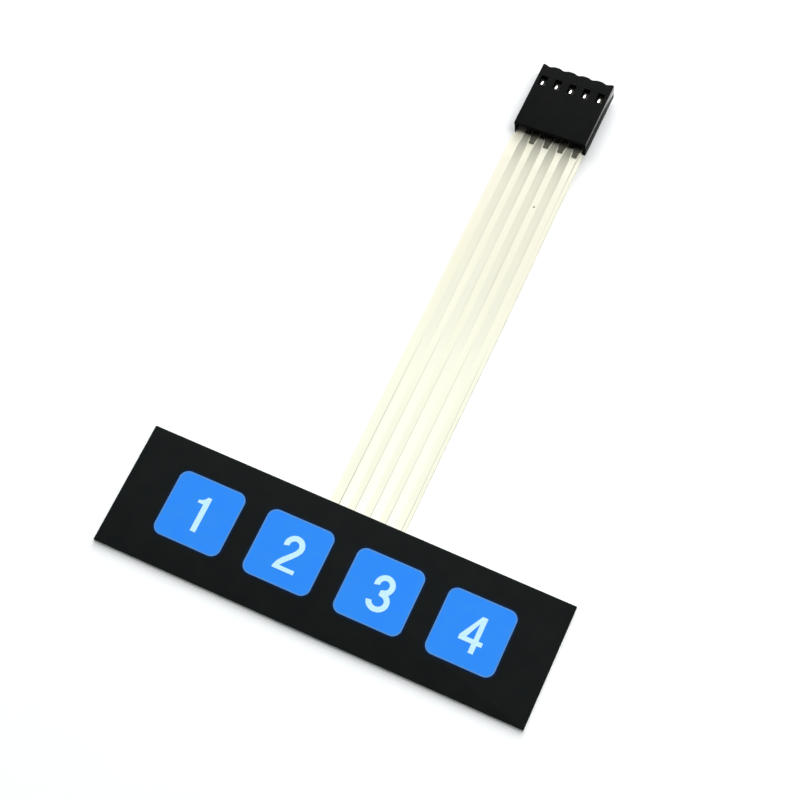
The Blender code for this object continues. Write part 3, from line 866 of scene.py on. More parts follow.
@dataclass
class Studio:
    """Pale floor, soft light and the camera at the photograph's angle."""

    floor_size: float = 3.0
    floor_gap: float = 0.01 * MM
    floor_colour: Rgb = (0.966, 0.980, 0.982)
    floor_glow: Rgb = (0.80, 0.96, 1.0)
    floor_lift: float = 0.048
    floor_roughness: float = 0.9
    horizon_light: float = 1.0
    ceiling_light: float = 0.08
    ceiling_start: Point = (0.30, 0.70)
    front_light: float = 0.12
    front_end: Point = (-0.8, 0.1)
    aim: Sequence[float] = (0.0, 0.04, 0.0)
    lamps: Sequence[Softbox] = (
        Softbox("back_softbox", 94, 43, 0.85, 0.54, 0.385),
        Softbox("left_softbox", 158, 64, 0.80, 0.45, 0.21),
        Softbox("right_softbox", 14, 66, 0.80, 0.40, 0.35),
    )
    camera_place: Sequence[float] = (45.865 * MM, -75.923 * MM, 264.678 * MM)
    camera_aim: Sequence[float] = (-2.824 * MM, 30.165 * MM, 0.0)
    camera_roll: float = math.radians(0.111)
    focal_share: float = 1850 / 800
    sensor: float = 36.0
    clip: Point = (0.01, 10.0)

    def build(self) -> None:
        """Make the whole studio."""
        self.make_floor()
        self.make_world()
        for lamp in self.lamps:
            lamp.build(Vector(self.aim))
        self.make_camera()

    def make_floor(self) -> None:
        """A wide pale floor that shows white to the eye and in reflections and keeps its shadows."""
        bpy.ops.object.select_all(action="DESELECT")
        bpy.ops.mesh.primitive_plane_add(size=self.floor_size, location=(0, 0, -self.floor_gap))
        floor = bpy.context.object
        floor.name = "studio_floor"
        material = bpy.data.materials.new("floor_paper")
        material.use_nodes = True
        shader = material.node_tree.nodes["Principled BSDF"]
        board = NodeBoard(material.node_tree)
        shader.inputs["Base Color"].default_value = (*self.floor_colour, 1.0)
        shader.inputs["Roughness"].default_value = self.floor_roughness
        shader.inputs["Specular IOR Level"].default_value = 0.0
        shader.inputs["Emission Color"].default_value = (*self.floor_glow, 1.0)
        path = board.add("ShaderNodeLightPath")
        seen = board.math("MAXIMUM", path.outputs["Is Camera Ray"], path.outputs["Is Glossy Ray"])
        seen = board.math("MAXIMUM", seen, path.outputs["Is Transmission Ray"])
        board.wire(board.math("MULTIPLY", seen, self.floor_lift), shader.inputs["Emission Strength"])
        floor.data.materials.append(material)

    def make_world(self) -> None:
        """A room that is white towards the horizon, dim overhead and behind the camera."""
        world = bpy.data.worlds.new("studio_room")
        world.use_nodes = True
        bpy.context.scene.world = world
        board = NodeBoard(world.node_tree)
        direction = board.add("ShaderNodeTexCoord").outputs["Generated"]
        parts = board.add("ShaderNodeSeparateXYZ")
        board.wire(direction, parts.inputs[0])
        levels = (self.horizon_light, self.ceiling_light)
        upwards = board.spread(parts.outputs["Z"], self.ceiling_start, levels)
        forwards = board.spread(parts.outputs["Y"], self.front_end, (self.front_light, 1.0))
        light = board.math("MULTIPLY", upwards, forwards)
        seen = board.add("ShaderNodeLightPath").outputs["Is Camera Ray"]
        background = world.node_tree.nodes["Background"]
        board.wire(board.math("MAXIMUM", light, seen), background.inputs["Strength"])
        background.inputs["Color"].default_value = (1.0, 1.0, 1.0, 1.0)

    def make_camera(self) -> None:
        """The camera, aimed and slightly rolled as the photograph's."""
        bpy.ops.object.select_all(action="DESELECT")
        bpy.ops.object.camera_add(location=self.camera_place)
        camera = bpy.context.object
        camera.name = "photo_camera"
        camera.data.sensor_width = self.sensor
        camera.data.lens = self.focal_share * self.sensor
        camera.data.clip_start, camera.data.clip_end = self.clip
        view = (Vector(self.camera_aim) - Vector(self.camera_place)).normalized()
        level = view.to_track_quat("-Z", "Y")
        camera.rotation_mode = "QUATERNION"
        camera.rotation_quaternion = Quaternion(view, self.camera_roll) @ level
        bpy.context.scene.camera = camera


@dataclass
class TailRoute:
    """Where the film tail runs, from the panel's edge into the connector."""

    start: float
    rear: float
    end: float
    level_at_panel: float = 0.160 * MM
    x_at_panel: float = 0.6 * MM
    drop_length: float = 5.0 * MM
    rise_length: float = 40.0 * MM
    connector_x: float = 0.45 * MM
    connector_lift: float = 0.597 * MM
    roll: float = math.radians(5.5)
    film_height: float = 0.6 * MM
    fan: float = 0.03

    def fan_out(self, y: float) -> float:
        """How much wider apart the traces lie at y than at the connector."""
        return 1 + self.fan * (1 - ease((y - self.start) / (self.rear - self.start)))

    def section(self, y: float) -> tuple[float, float, float]:
        """Middle of the film's underside and its roll.

        Args:
            y: Place along the tail.

        Returns:
            X, Z and the roll about Y.
        """
        rise = ease((y - (self.rear - self.rise_length)) / self.rise_length)
        drop = 1 - ease((y - self.start) / self.drop_length)
        x_end = self.connector_x - self.film_height * math.sin(self.roll)
        z_end = self.connector_lift + self.film_height * math.cos(self.roll)
        share = min(max((y - self.start) / (self.rear - self.start), 0.0), 1.0)
        x = self.x_at_panel + (x_end - self.x_at_panel) * share
        return x, self.level_at_panel * drop + z_end * rise, self.roll * rise

    def bend(self, vert: MeshVertex) -> None:
        """Move a flat piece's corner onto the route.

        Args:
            vert: The corner, whose X is measured from the tail's middle and whose Z is zero on the
                film's underside.
        """
        across, y, height = vert.co
        x, z, roll = self.section(y)
        vert.co.x = x + across * math.cos(roll) - height * math.sin(roll)
        vert.co.z = z + across * math.sin(roll) + height * math.cos(roll)

    def lay(self, obj: Object) -> Object:
        """Bend a piece that was made flat onto the route.

        Args:
            obj: The piece.

        Returns:
            The same piece.
        """
        for vert in obj.data.vertices:
            self.bend(vert)
        obj.data.update()
        return obj


@dataclass
class Numeral:
    """A plain numeral, drawn as outlines in millimetres from its key's middle."""

    digit: int
    steps: int = 24
    trim: float = 0.035 * MM

    def arc(self, centre: Point, radii: Point, start: float, end: float) -> list[Point]:
        """Points along an elliptical arc.

        Args:
            centre: Its centre.
            radii: Its half width and half height.
            start: Its first angle, in degrees.
            end: Its last angle.

        Returns:
            The points.
        """
        points = []
        for step in range(self.steps + 1):
            angle = math.radians(start + (end - start) * step / self.steps)
            points.append((centre[0] + radii[0] * math.cos(angle), centre[1] + radii[1] * math.sin(angle)))
        return points

    def one(self) -> list[list[Point]]:
        """A stem with a hollow flag."""
        stem = [(-0.20, -3.12), (0.76, -3.12), (0.76, 2.83), (0.08, 2.83)]
        return [stem + self.arc((-1.16, 3.20), (1.26, 1.22), -22, -88) + [(-1.16, 1.42), (-0.20, 1.42)]]

    def two(self) -> list[list[Point]]:
        """A bowl that sweeps down to a straight foot.

        Returns:
            Its outlines.
        """
        crown = self.arc((0.38, 1.20), (1.68, 1.69), 197, -24)
        back = [(1.56, -0.07), (0.92, -0.87), (0.25, -1.60), (-0.10, -2.00), (-0.36, -2.38)]
        foot = [(2.16, -2.38), (2.16, -3.12), (-1.46, -3.12)]
        belly = [(-1.40, -2.62), (-1.12, -1.86), (-0.60, -1.10), (0.18, -0.28), (0.83, 0.46)]
        return [crown + back + foot + belly + self.arc((0.38, 1.20), (0.72, 0.73), -24, 197)]

    def three(self) -> list[list[Point]]:
        """Two bowls that meet at a short bar.

        Returns:
            Its outlines.
        """
        upper = self.arc((0.38, 1.20), (1.67, 1.69), 196, -46)
        lower = self.arc((0.39, -1.44), (1.86, 1.76), 46, -172)
        throat = self.arc((0.39, -1.44), (0.90, 0.80), -172, 92)
        bar = [(0.06, -0.50), (0.06, 0.28)]
        return [upper + lower + throat + bar + self.arc((0.38, 1.20), (0.71, 0.73), -92, 196)]

    def four(self) -> list[list[Point]]:
        """A stem, a slope and a crossbar round a three-cornered counter.

        Returns:
            Its outlines.
        """
        stem = [(0.66, -3.12), (1.56, -3.12), (1.56, -1.68)]
        bar = [(2.30, -1.68), (2.30, -0.88), (1.56, -0.88)]
        slope = [(1.56, 2.88), (0.64, 2.88), (-1.54, -0.98), (-1.54, -1.68), (0.66, -1.68)]
        return [stem + bar + slope, [(-0.40, -0.88), (0.70, 1.52), (0.70, -0.88)]]

    def build(self, middle: Point, level: float, thickness: float) -> Object:
        """Make the numeral as a thin layer of print.

        Args:
            middle: The key's middle.
            level: Height of its underside.
            thickness: Of the print.

        Returns:
            One closed mesh.
        """
        curve = bpy.data.curves.new(f"numeral_{self.digit}", "CURVE")
        curve.dimensions = "2D"
        curve.fill_mode = "BOTH"
        curve.extrude = thickness / 2
        curve.offset = -self.trim
        outlines = (self.one, self.two, self.three, self.four)[self.digit - 1]()
        for outline in outlines:
            spline = curve.splines.new("POLY")
            spline.points.add(len(outline) - 1)
            for point, (x, y) in zip(spline.points, outline):
                point.co = (x * MM, y * MM, 0.0, 1.0)
            spline.use_cyclic_u = True
        numeral = bpy.data.objects.new(curve.name, curve)
        bpy.context.scene.collection.objects.link(numeral)
        activate(numeral)
        bpy.ops.object.convert(target="MESH")
        numeral = bpy.context.object
        numeral.location = (*middle, level + thickness / 2)
        face_outwards(settle(numeral))
        return numeral


@dataclass
class Laminate:
    """The self-adhesive panel: layers, printed overlay, keys and numerals."""

    key_pitch: float = 15.0 * MM
    key_size: float = 11.1 * MM
    key_radius: float = 1.5 * MM
    key_rise: float = 0.030 * MM
    key_count: int = 4
    key_y: float = 0.12 * MM
    rim_width: float = 0.20 * MM
    trap_width: float = 0.30 * MM
    trap_rise: float = 0.004 * MM
    key_corner_steps: int = 12
    corner_radius: float = 0.15 * MM
    corner_steps: int = 6
    edge_round: float = 0.03 * MM
    edge_steps: int = 2
    print_rise: float = 0.015 * MM

    def build(self) -> None:
        """Make the overlay with its keys, and dress the layers below it."""
        self.dress_layers()
        self.make_overlay()
        self.make_keys()

    def dress_layers(self) -> None:
        """Give the plain layers, whose edges show, their finishes."""
        milky, adhesive = MILKY.build(), ADHESIVE.build()
        finishes = {
            "release_liner": SHADED_LINER.build(),
            "rear_adhesive": adhesive,
            "spacer": milky,
            "contact_film": milky,
            "overlay_adhesive": adhesive,
        }
        for name, material in finishes.items():
            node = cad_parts[name]
            node.data.materials.clear()
            node.data.materials.append(material)
            LOG.info("%s: dressed as %s", name, material.name)

    def make_overlay(self) -> Object:
        """The printed face film, with rounded corners and a softened upper edge.

        Returns:
            The overlay.
        """
        low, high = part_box("graphic_overlay")
        overlay = add_block("printed_overlay", low, high)
        with editing(overlay, Element.EDGE):
            pick(overlay, Element.EDGE, lambda middle, along: abs(along.z) > UPRIGHT)
            bpy.ops.mesh.bevel(offset=self.corner_radius, segments=self.corner_steps, affect="EDGES")
            pick(overlay, Element.EDGE, lambda middle, along: middle.z > high.z - self.edge_round)
            bpy.ops.mesh.bevel(offset=self.edge_round, segments=self.edge_steps, affect="EDGES")
        smooth_by_angle(overlay)
        return hand_over(overlay, Slot.BLACK_PRINT, BLACK_OVERLAY.build(), "graphic_overlay")

    def rounded_tile(self, name: str, half: float, radius: float, span: Point) -> Object:
        """A flat square with round corners, at the middle of the row.

        Args:
            name: Its name.
            half: Half its side.
            radius: Of its corners.
            span: Its lowest and highest level.

        Returns:
            The tile.
        """
        tile = add_block(name, (-half, self.key_y - half, span[0]), (half, self.key_y + half, span[1]))
        with editing(tile, Element.EDGE):
            pick(tile, Element.EDGE, lambda middle, along: abs(along.z) > UPRIGHT)
            bpy.ops.mesh.bevel(offset=radius, segments=self.key_corner_steps, affect="EDGES")
        return tile

    def make_trap(self, top: float) -> Object:
        """The dark navy trap print that shows as a thin line round a key.

        Args:
            top: Level of the overlay's top.

        Returns:
            The trap print, at the middle of the row.
        """
        wide = self.key_size / 2 + self.trap_width
        span = (top - self.edge_round, top + self.trap_rise)
        trap = self.rounded_tile("key_trap", wide, self.key_radius + self.trap_width, span)
        trap.data.materials.append(KEY_TRAP.build())
        smooth_by_angle(trap)
        return trap

    def make_field(self, top: float) -> Object:
        """A key's blue field with its paler rim.

        Args:
            top: Level of the overlay's top.

        Returns:
            The field, at the middle of the row.
        """
        span = (top - self.edge_round, top + self.key_rise)
        key = self.rounded_tile("key_field", self.key_size / 2, self.key_radius, span)
        with editing(key, Element.FACE):
            pick(key, Element.FACE, lambda middle, normal: normal.z > UPRIGHT)
            bpy.ops.mesh.inset(thickness=self.rim_width, use_even_offset=True)
        key.data.materials.append(BLUE_KEY.build())
        key.data.materials.append(KEY_RIM.build())
        for face in key.data.polygons:
            inner = face.normal.z > UPRIGHT and face.area > self.key_size * self.key_size / 2
            face.material_index = 0 if inner else 1
        return key

    def make_keys(self) -> None:
        """The row of keys: one trap and one field, copied along the row, and a numeral on each."""
        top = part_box("graphic_overlay")[1].z
        trap, key = self.make_trap(top), self.make_field(top)
        pale = NUMERAL.build()
        for number in range(1, self.key_count + 1):
            x = (number - (self.key_count + 1) / 2) * self.key_pitch
            surround = copy_of(trap, f"key_trap_{number}", (x, 0, 0))
            hand_over(surround, Slot.BLACK_PRINT, trap.data.materials[0])
            blue = copy_of(key, f"key_field_{number}", (x, 0, 0))
            hand_over(blue, Slot.BLUE_PRINT, key.data.materials[0])
            numeral = Numeral(number).build((x, self.key_y), top + self.key_rise, self.print_rise)
            hand_over(numeral, Slot.NUMERAL_PRINT, pale)
        discard(trap, key)


@dataclass
class Tail:
    """The circuit film, whose tail carries five printed traces."""

    route: TailRoute
    ways: int = 5
    pitch: float = 2.54 * MM
    width: float = 12.7 * MM
    margin_shift: float = 0.12 * MM
    film: float = 0.125 * MM
    trace_width: float = 1.08 * MM
    pad_width: float = 1.46 * MM
    pad_start: float = 2.6 * MM
    pad_full: float = 0.9 * MM
    trace_rise: float = 0.024 * MM
    conductor_rise: float = 0.006 * MM
    # The strip under each cover paints the traces' shadow: a dark line at its right edge near the panel, and
    # a dim band of painted shade grown on its left towards the connector.
    conductor_left: float = -0.04 * MM
    conductor_right: float = 0.09 * MM
    first_right: float = 0.05 * MM
    first_end: float = 30 * MM
    right_end: float = 40 * MM
    dim_width: float = 0.44 * MM
    dim_start: float = 36 * MM
    dim_full: float = 62 * MM
    fade: float = 9 * MM
    cut_edge: float = 0.08 * MM
    cut_edge_inset: float = 0.02 * MM
    neck_left: float = -5.7 * MM
    neck_right: float = 5.85 * MM
    shoulder: float = 0.6 * MM
    shoulder_gap: float = 0.15 * MM
    step: float = 1.2 * MM
    columns: int = 12
    cut_edge_pieces: int = 60

    def build(self) -> None:
        """Make the film and what is printed on it."""
        self.make_film()
        self.make_traces()
        self.make_cut_edge()

    def edges(self, y: float) -> Point:
        """Left and right edge of the film.

        Args:
            y: Place along the tail.

        Returns:
            Both edges' distances from the tail's middle.
        """
        start = self.route.rear - self.shoulder_gap - self.shoulder
        share = min(max((y - start) / self.shoulder, 0.0), 1.0)
        left = self.margin_shift - self.width / 2
        right = self.margin_shift + self.width / 2
        return left + (self.neck_left - left) * share, right + (self.neck_right - right) * share

    def stations(self) -> list[float]:
        """Places along Y where the tail's cross-section is set.

        Returns:
            The places, from the panel's edge to the tail's end.
        """
        shoulder = self.route.rear - self.shoulder_gap - self.shoulder
        count = round((shoulder - self.route.start) / self.step)
        even = [self.route.start + (shoulder - self.route.start) * i / count for i in range(count + 1)]
        return even + [shoulder + self.shoulder, self.route.end]

    def make_film(self) -> Object:
        """The film in one piece: the panel's layer with the tail drawn out of its edge.

        Returns:
            The film.
        """
        low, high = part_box("graphic_overlay")
        film = add_ribbon("circuit_film_tail", low.xy, high.xy, 0.0, 1)
        stations = self.stations()
        edge = self.route.start
        left, right = (self.route.x_at_panel + across for across in self.edges(edge))
        with editing(film, Element.EDGE):
            for column in range(self.columns + 1):
                x = left + (right - left) * column / self.columns
                bpy.ops.mesh.select_all(action="SELECT")
                bpy.ops.mesh.bisect(plane_co=(x, 0, 0), plane_no=(1, 0, 0))
            pick(film, Element.EDGE, lambda middle, along: middle.y > edge - NEAR and left < middle.x < right)
            for before, after in zip(stations, stations[1:]):
                bpy.ops.mesh.extrude_region_move(TRANSFORM_OT_translate={"value": (0, after - before, 0)})
        thicken(film, self.film)
        for vert in film.data.vertices:
            if vert.co.y < edge + HAIR:
                vert.co.z += self.route.level_at_panel
                continue
            near, far = self.edges(vert.co.y)
            vert.co.x = near + (far - near) * (vert.co.x - left) / (right - left)
            self.route.bend(vert)
        film.data.update()
        face_outwards(film)
        return hand_over(film, Slot.CLEAR_FILM, FILM.build(), "circuit_film")

    def half_width(self, y: float) -> float:
        """Half the width of a trace, with its wider pad at the connector.

        Args:
            y: Place along the tail.

        Returns:
            The half width.
        """
        ahead = self.route.rear - y
        share = ease((self.pad_start - ahead) / (self.pad_start - self.pad_full))
        return (self.trace_width + (self.pad_width - self.trace_width) * share) / 2

    def conductor_spread(self, y: float) -> Point:
        """How far the painted shadow strip stands out past its cover print, left and right, at y: a dim band
        of painted shade on the left that widens towards the connector, and a painted shadow line on the right
        that fades out.
        """
        dim = self.dim_width * ease((y - self.dim_start) / (self.dim_full - self.dim_start))
        return self.conductor_left + dim, self.conductor_right * (1 - ease((y - self.right_end) / self.fade))

    def make_strip(self, name: str, spread: Callable[[float], Point], base: float, rise: float) -> Object:
        """One strip, still flat and in the tail's middle; both the cover prints and the painted shadow strips
        are made with it.

        Args:
            name: Its name.
            spread: How far it stands out past the trace's width, left and right, at a place along Y.
            base: Height of its underside above the film's underside.
            rise: Its thickness.

        Returns:
            The strip.
        """
        start, end = self.route.start, self.route.end
        pieces = round((end - start) / (self.step / 2))
        ribbon = add_ribbon(name, (-MM, start), (MM, end), base, pieces)
        for vert in ribbon.data.vertices:
            half = self.half_width(vert.co.y)
            left, right = spread(vert.co.y)
            vert.co.x = -half - left if vert.co.x < 0 else half + right
        thicken(ribbon, rise)
        return ribbon

    def widen_first(self, conductor: Object) -> None:
        """Give the first trace's painted shadow strip no dim band on its left, and a wider painted shadow
        line on its right near the panel.

        Args:
            conductor: The painted shadow strip, still flat.
        """
        for vert in conductor.data.vertices:
            if vert.co.x < 0:
                vert.co.x = -self.half_width(vert.co.y) - self.conductor_left
            else:
                vert.co.x += self.first_right * (1 - ease((vert.co.y - self.first_end) / self.fade))

    def make_traces(self) -> None:
        """The five traces: each a cream cover print over a thin strip that paints the traces' shadow, as a
        dark line on its right near the panel and a dim band on its left towards the connector.
        """
        conductor = self.make_strip("conductor", self.conductor_spread, self.film, self.conductor_rise)
        base = self.film + self.conductor_rise
        cover = self.make_strip("trace", lambda y: (0.0, 0.0), base, self.trace_rise)
        for strip, material in ((conductor, TRACE_SHADOW_PAINT.build()), (cover, TRACE.build())):
            for number in range(1, self.ways + 1):
                centre = (number - (self.ways + 1) / 2) * self.pitch
                twin = copy_of(strip, f"{strip.name}_{number}")
                if strip is conductor and number == 1:
                    self.widen_first(twin)
                for vert in twin.data.vertices:
                    vert.co.x += centre * self.route.fan_out(vert.co.y)
                hand_over(self.route.lay(twin), Slot.TRACE_PRINT, material)
        discard(conductor, cover)

    def make_cut_edge(self) -> None:
        """A thin grey strip along the tail's right side, just inside the film's cut edge."""
        start, end = self.route.start, self.route.rear - self.shoulder_gap - self.shoulder
        right = self.edges(start)[1] - self.cut_edge_inset
        low = (right - self.cut_edge, start)
        line = add_ribbon("cut_edge", low, (right, end), self.film, self.cut_edge_pieces)
        thicken(line, self.conductor_rise)
        hand_over(self.route.lay(line), Slot.TRACE_PRINT, FILM_EDGE.build())


@dataclass
class Connector:
    """The moulded receptacle and its five crimped terminals, in the connector's own frame."""

    route: TailRoute
    ways: int = 5
    pitch: float = 2.54 * MM
    length: float = 12.7 * MM
    width: float = 12.7 * MM
    thickness: float = 3.18 * MM
    edge: float = 0.14 * MM
    edge_steps: int = 3
    edge_angle: float = math.radians(50)
    smooth_angle: float = 30
    flute_depth: float = 0.25 * MM
    flute_width: float = 1.9 * MM
    flute_cuts: int = 79
    cavity_width: float = 1.8 * MM
    cavity_floor: float = 0.4 * MM
    cavity_roof: float = 0.55 * MM
    front_wall: float = 1.5 * MM
    pin_hole: float = 0.95 * MM
    lead_in_width: float = 1.7 * MM
    lead_in_depth: float = 0.45 * MM
    window_width: float = 1.2 * MM
    window_length: float = 1.9 * MM
    window_from_front: float = 2.3 * MM
    groove_height: float = 0.3 * MM
    groove_depth: float = 0.15 * MM
    groove_length: float = 8.2 * MM
    slot_floor: float = 0.5 * MM
    slot_height: float = 0.55 * MM
    slot_side_wall: float = 0.4 * MM
    film_insertion: float = 5.7 * MM
    terminal_base: float = 0.775 * MM
    stock: float = 0.18 * MM
    box_width: float = 1.5 * MM
    box_height: float = 1.15 * MM
    box_length: float = 4.7 * MM
    box_clearance: float = 0.2 * MM
    box_wall: float = 0.144 * MM
    strip_width: float = 1.24 * MM
    tab_width: float = 0.88 * MM
    tab_reach: float = 1.5 * MM
    tab_square: float = 0.55 * MM
    first_tab_setback: float = 2.0 * MM
    strip_edge: float = 0.036 * MM
    metal_edge_steps: int = 2
    wing_edge: float = 0.030 * MM
    wing_length: float = 1.1 * MM
    wing_rise: float = 0.288 * MM
    wing_curl: tuple[Point, ...] = ((0.04 * MM, 0.16 * MM), (0.10 * MM, 0.13 * MM), (0.15 * MM, 0.06 * MM))
    wing_starts: tuple[float, ...] = (2.6 * MM, 4.4 * MM)
    lance_width: float = 0.32 * MM
    lance_clearance: float = 0.12 * MM
    lance_rise: float = 0.62
    lance_tilt: float = 0.26
    lance_waist: float = 0.15
    lance_swell: Point = (0.40, 0.45)
    lance_round: Point = (0.82, 0.20)
    lance_pieces: int = 24
    lance_sink: float = 0.06 * MM
    lance_smooth_angle: float = 40
    shift: float = 0.2 * MM
    overcut: float = 1.0 * MM
    rear_facing: float = 0.7
    plating: dict[str, Material] = field(default_factory=dict)

    def seat(self) -> Matrix:
        """The connector's frame: origin under the middle of its rear face, rolled to one side."""
        place = Vector((self.route.connector_x, self.route.rear, self.route.connector_lift))
        return Matrix.Translation(place) @ Matrix.Rotation(-self.route.roll, 4, "Y")

    def way_centres(self) -> list[float]:
        """Middle of each way across the connector."""
        return [(i - (self.ways - 1) / 2) * self.pitch for i in range(self.ways)]

    def build(self) -> None:
        """Make the housing and the terminals."""
        self.make_housing()
        self.make_terminals()

    def flute(self, x: float) -> float:
        """Depth of the mating face's flutes.

        Args:
            x: Place across the connector.

        Returns:
            The depth, 0 between the flutes.
        """
        for centre in self.way_centres():
            across = (x - centre) / (self.flute_width / 2)
            if abs(across) < 1:
                return self.flute_depth * (1 + math.cos(math.pi * across)) / 2
        return 0.0

    def cavity_top(self) -> float:
        """Height of the cavities' ceiling."""
        return self.thickness - self.cavity_roof

    def make_housing(self) -> Object:
        """The housing: a fluted block with cavities, windows, pin holes, film slot and side grooves.

        Returns:
            The housing.
        """
        housing = self.fluted_block()
        self.cut_ways(housing)
        self.cut_slot(housing)
        self.cut_grooves(housing)
        self.paint_housing(housing)
        housing.data.transform(self.seat() @ Matrix.Translation((self.shift, 0, 0)))
        smooth_by_angle(housing, self.smooth_angle)
        return hand_over(housing, Slot.BLACK_PLASTIC, housing.data.materials[0], "connector_housing")

    def fluted_block(self) -> Object:
        """The housing's block, with its fluted mating face and softened edges.

        Returns:
            The block.
        """
        half = self.width / 2
        housing = add_ribbon("receptacle_housing", (-half, 0.0), (half, self.length), 0.0, 1)
        front = self.length - NEAR
        with editing(housing, Element.EDGE):
            pick(housing, Element.EDGE, lambda middle, along: middle.y > front)
            bpy.ops.mesh.subdivide(number_cuts=self.flute_cuts)
        for vert in housing.data.vertices:
            if vert.co.y > front:
                vert.co.y -= self.flute(vert.co.x)
        with editing(housing, Element.FACE):
            bpy.ops.mesh.select_all(action="SELECT")
            bpy.ops.mesh.extrude_region_move(TRANSFORM_OT_translate={"value": (0, 0, self.thickness)})
            bpy.ops.mesh.select_all(action="SELECT")
            bpy.ops.mesh.normals_make_consistent(inside=False)
        self.soften(housing, self.edge, segments=self.edge_steps, angle_limit=self.edge_angle)
        return housing

    def soften(self, obj: Object, width: float, **settings: object) -> None:
        """Round a piece's sharp edges.

        Args:
            obj: The piece.
            width: How wide the rounding is.
            **settings: The modifier's other properties.
        """
        apply_modifier(obj, "BEVEL", width=width, limit_method="ANGLE", **settings)

    def cut_ways(self, housing: Object) -> None:
        """Cut each way's cavity, latch window and pin hole.

        Args:
            housing: The housing.
        """
        cutters = (self.cavity_cutter(), self.window_cutter(), self.funnel_cutter())
        for cutter in cutters:
            for x in self.way_centres():
                combine(housing, copy_of(cutter, f"{cutter.name}_copy", (x, 0, 0)), "DIFFERENCE")
        discard(*cutters)

    def cut_slot(self, housing: Object) -> None:
        """Cut the slot that takes the film.

        Args:
            housing: The housing.
        """
        reach = self.width / 2 - self.slot_side_wall
        slot = add_block(
            "film_slot",
            (-reach, -self.overcut, self.slot_floor),
            (reach, self.film_insertion, self.slot_floor + self.slot_height),
        )
        combine(housing, slot, "DIFFERENCE")

    def cut_grooves(self, housing: Object) -> None:
        """Cut the groove in each side.

        Args:
            housing: The housing.
        """
        half, middle = self.width / 2, self.thickness / 2
        groove = add_block(
            "side_groove",
            (half - self.groove_depth, -self.overcut, middle - self.groove_height / 2),
            (half + self.overcut, self.groove_length, middle + self.groove_height / 2),
        )
        across = self.groove_depth - self.width - self.overcut
        combine(housing, copy_of(groove, "left_groove", (across, 0, 0)), "DIFFERENCE")
        combine(housing, groove, "DIFFERENCE")

    def paint_housing(self, housing: Object) -> None:
        """Give the top and the sides their finishes, and the rear face and the faces below the cavities'
        ceiling a darker black as painted shade.

        Args:
            housing: The housing, in the connector's own frame.
        """
        for finish in (HOUSING_PLASTIC, HOUSING_SIDE, HOUSING_SHADE):
            housing.data.materials.append(finish.build())
        outside = self.width / 2 - self.groove_depth - self.edge
        for face in housing.data.polygons:
            if abs(face.normal.x) > UPRIGHT and abs(face.center.x) > outside:
                face.material_index = 1
            # Painted shade: the rear face and everything below the cavities' ceiling take the darker black.
            elif face.normal.y < -self.rear_facing or face.center.z < self.cavity_top() - HAIR:
                face.material_index = 2

    def cavity_cutter(self) -> Object:
        """A terminal's cavity, open at the rear.

        Returns:
            The cutter.
        """
        half = self.cavity_width / 2
        end = self.length - self.front_wall
        return add_block("cavity", (-half, -self.overcut, self.cavity_floor), (half, end, self.cavity_top()))

    def window_cutter(self) -> Object:
        """A latch window in the housing's top.

        Returns:
            The cutter.
        """
        half = self.window_width / 2
        end = self.length - self.window_from_front
        low = (-half, end - self.window_length, self.cavity_top() - self.stock)
        return add_block("window", low, (half, end, self.thickness + self.overcut))

    def funnel_cutter(self) -> Object:
        """A pin hole with its tapered lead-in.

        Returns:
            The cutter.
        """
        half = self.pin_hole / 2
        height = self.thickness / 2
        mouth = self.length - self.flute_depth
        back = self.length - self.front_wall - self.overcut
        end = mouth - self.lead_in_depth
        cutter = add_block("pin_hole", (-half, back, height - half), (half, end, height + half))
        widen = self.lead_in_width / self.pin_hole
        with editing(cutter, Element.FACE):
            pick(cutter, Element.FACE, lambda middle, normal: normal.y > UPRIGHT)
            bpy.ops.mesh.extrude_region_move(TRANSFORM_OT_translate={"value": (0, self.lead_in_depth, 0)})
            bpy.ops.transform.resize(value=(widen, 1, widen), center_override=(0, mouth, height))
            bpy.ops.mesh.extrude_region_move(TRANSFORM_OT_translate={"value": (0, self.overcut, 0)})
        return cutter

    def make_strip(self, tab_end: float, end: float) -> Object:
        """A terminal's flat strip: a narrow cut-off tab that widens to the crimp.

        Args:
            tab_end: Where the tab ends, towards the tail.
            end: Where the strip ends, under the box.

        Returns:
            The strip, in the connector's middle.
        """
        profile = (
            (tab_end, self.tab_width),
            (tab_end + self.tab_square, self.tab_width),
            (tab_end + self.tab_reach - self.stock, self.strip_width),
            (end, self.strip_width),
        )
        strip = add_ribbon("strip", (-MM, tab_end), (MM, end), self.terminal_base, len(profile) - 1)
        rows = sorted({round(vert.co.y, 7) for vert in strip.data.vertices})
        for vert in strip.data.vertices:
            y, width = profile[rows.index(round(vert.co.y, 7))]
            vert.co.y = y
            vert.co.x = math.copysign(width / 2, vert.co.x)
        thicken(strip, self.stock)
        self.soften(strip, self.strip_edge, segments=self.metal_edge_steps)
        for finish in (BRIGHT_TIN, SHADED_TIN):
            strip.data.materials.append(self.plating[finish.name])
        # Every face of the strip takes the darker tin copy, as painted shade.
        for face in strip.data.polygons:
            face.material_index = 1
        return strip

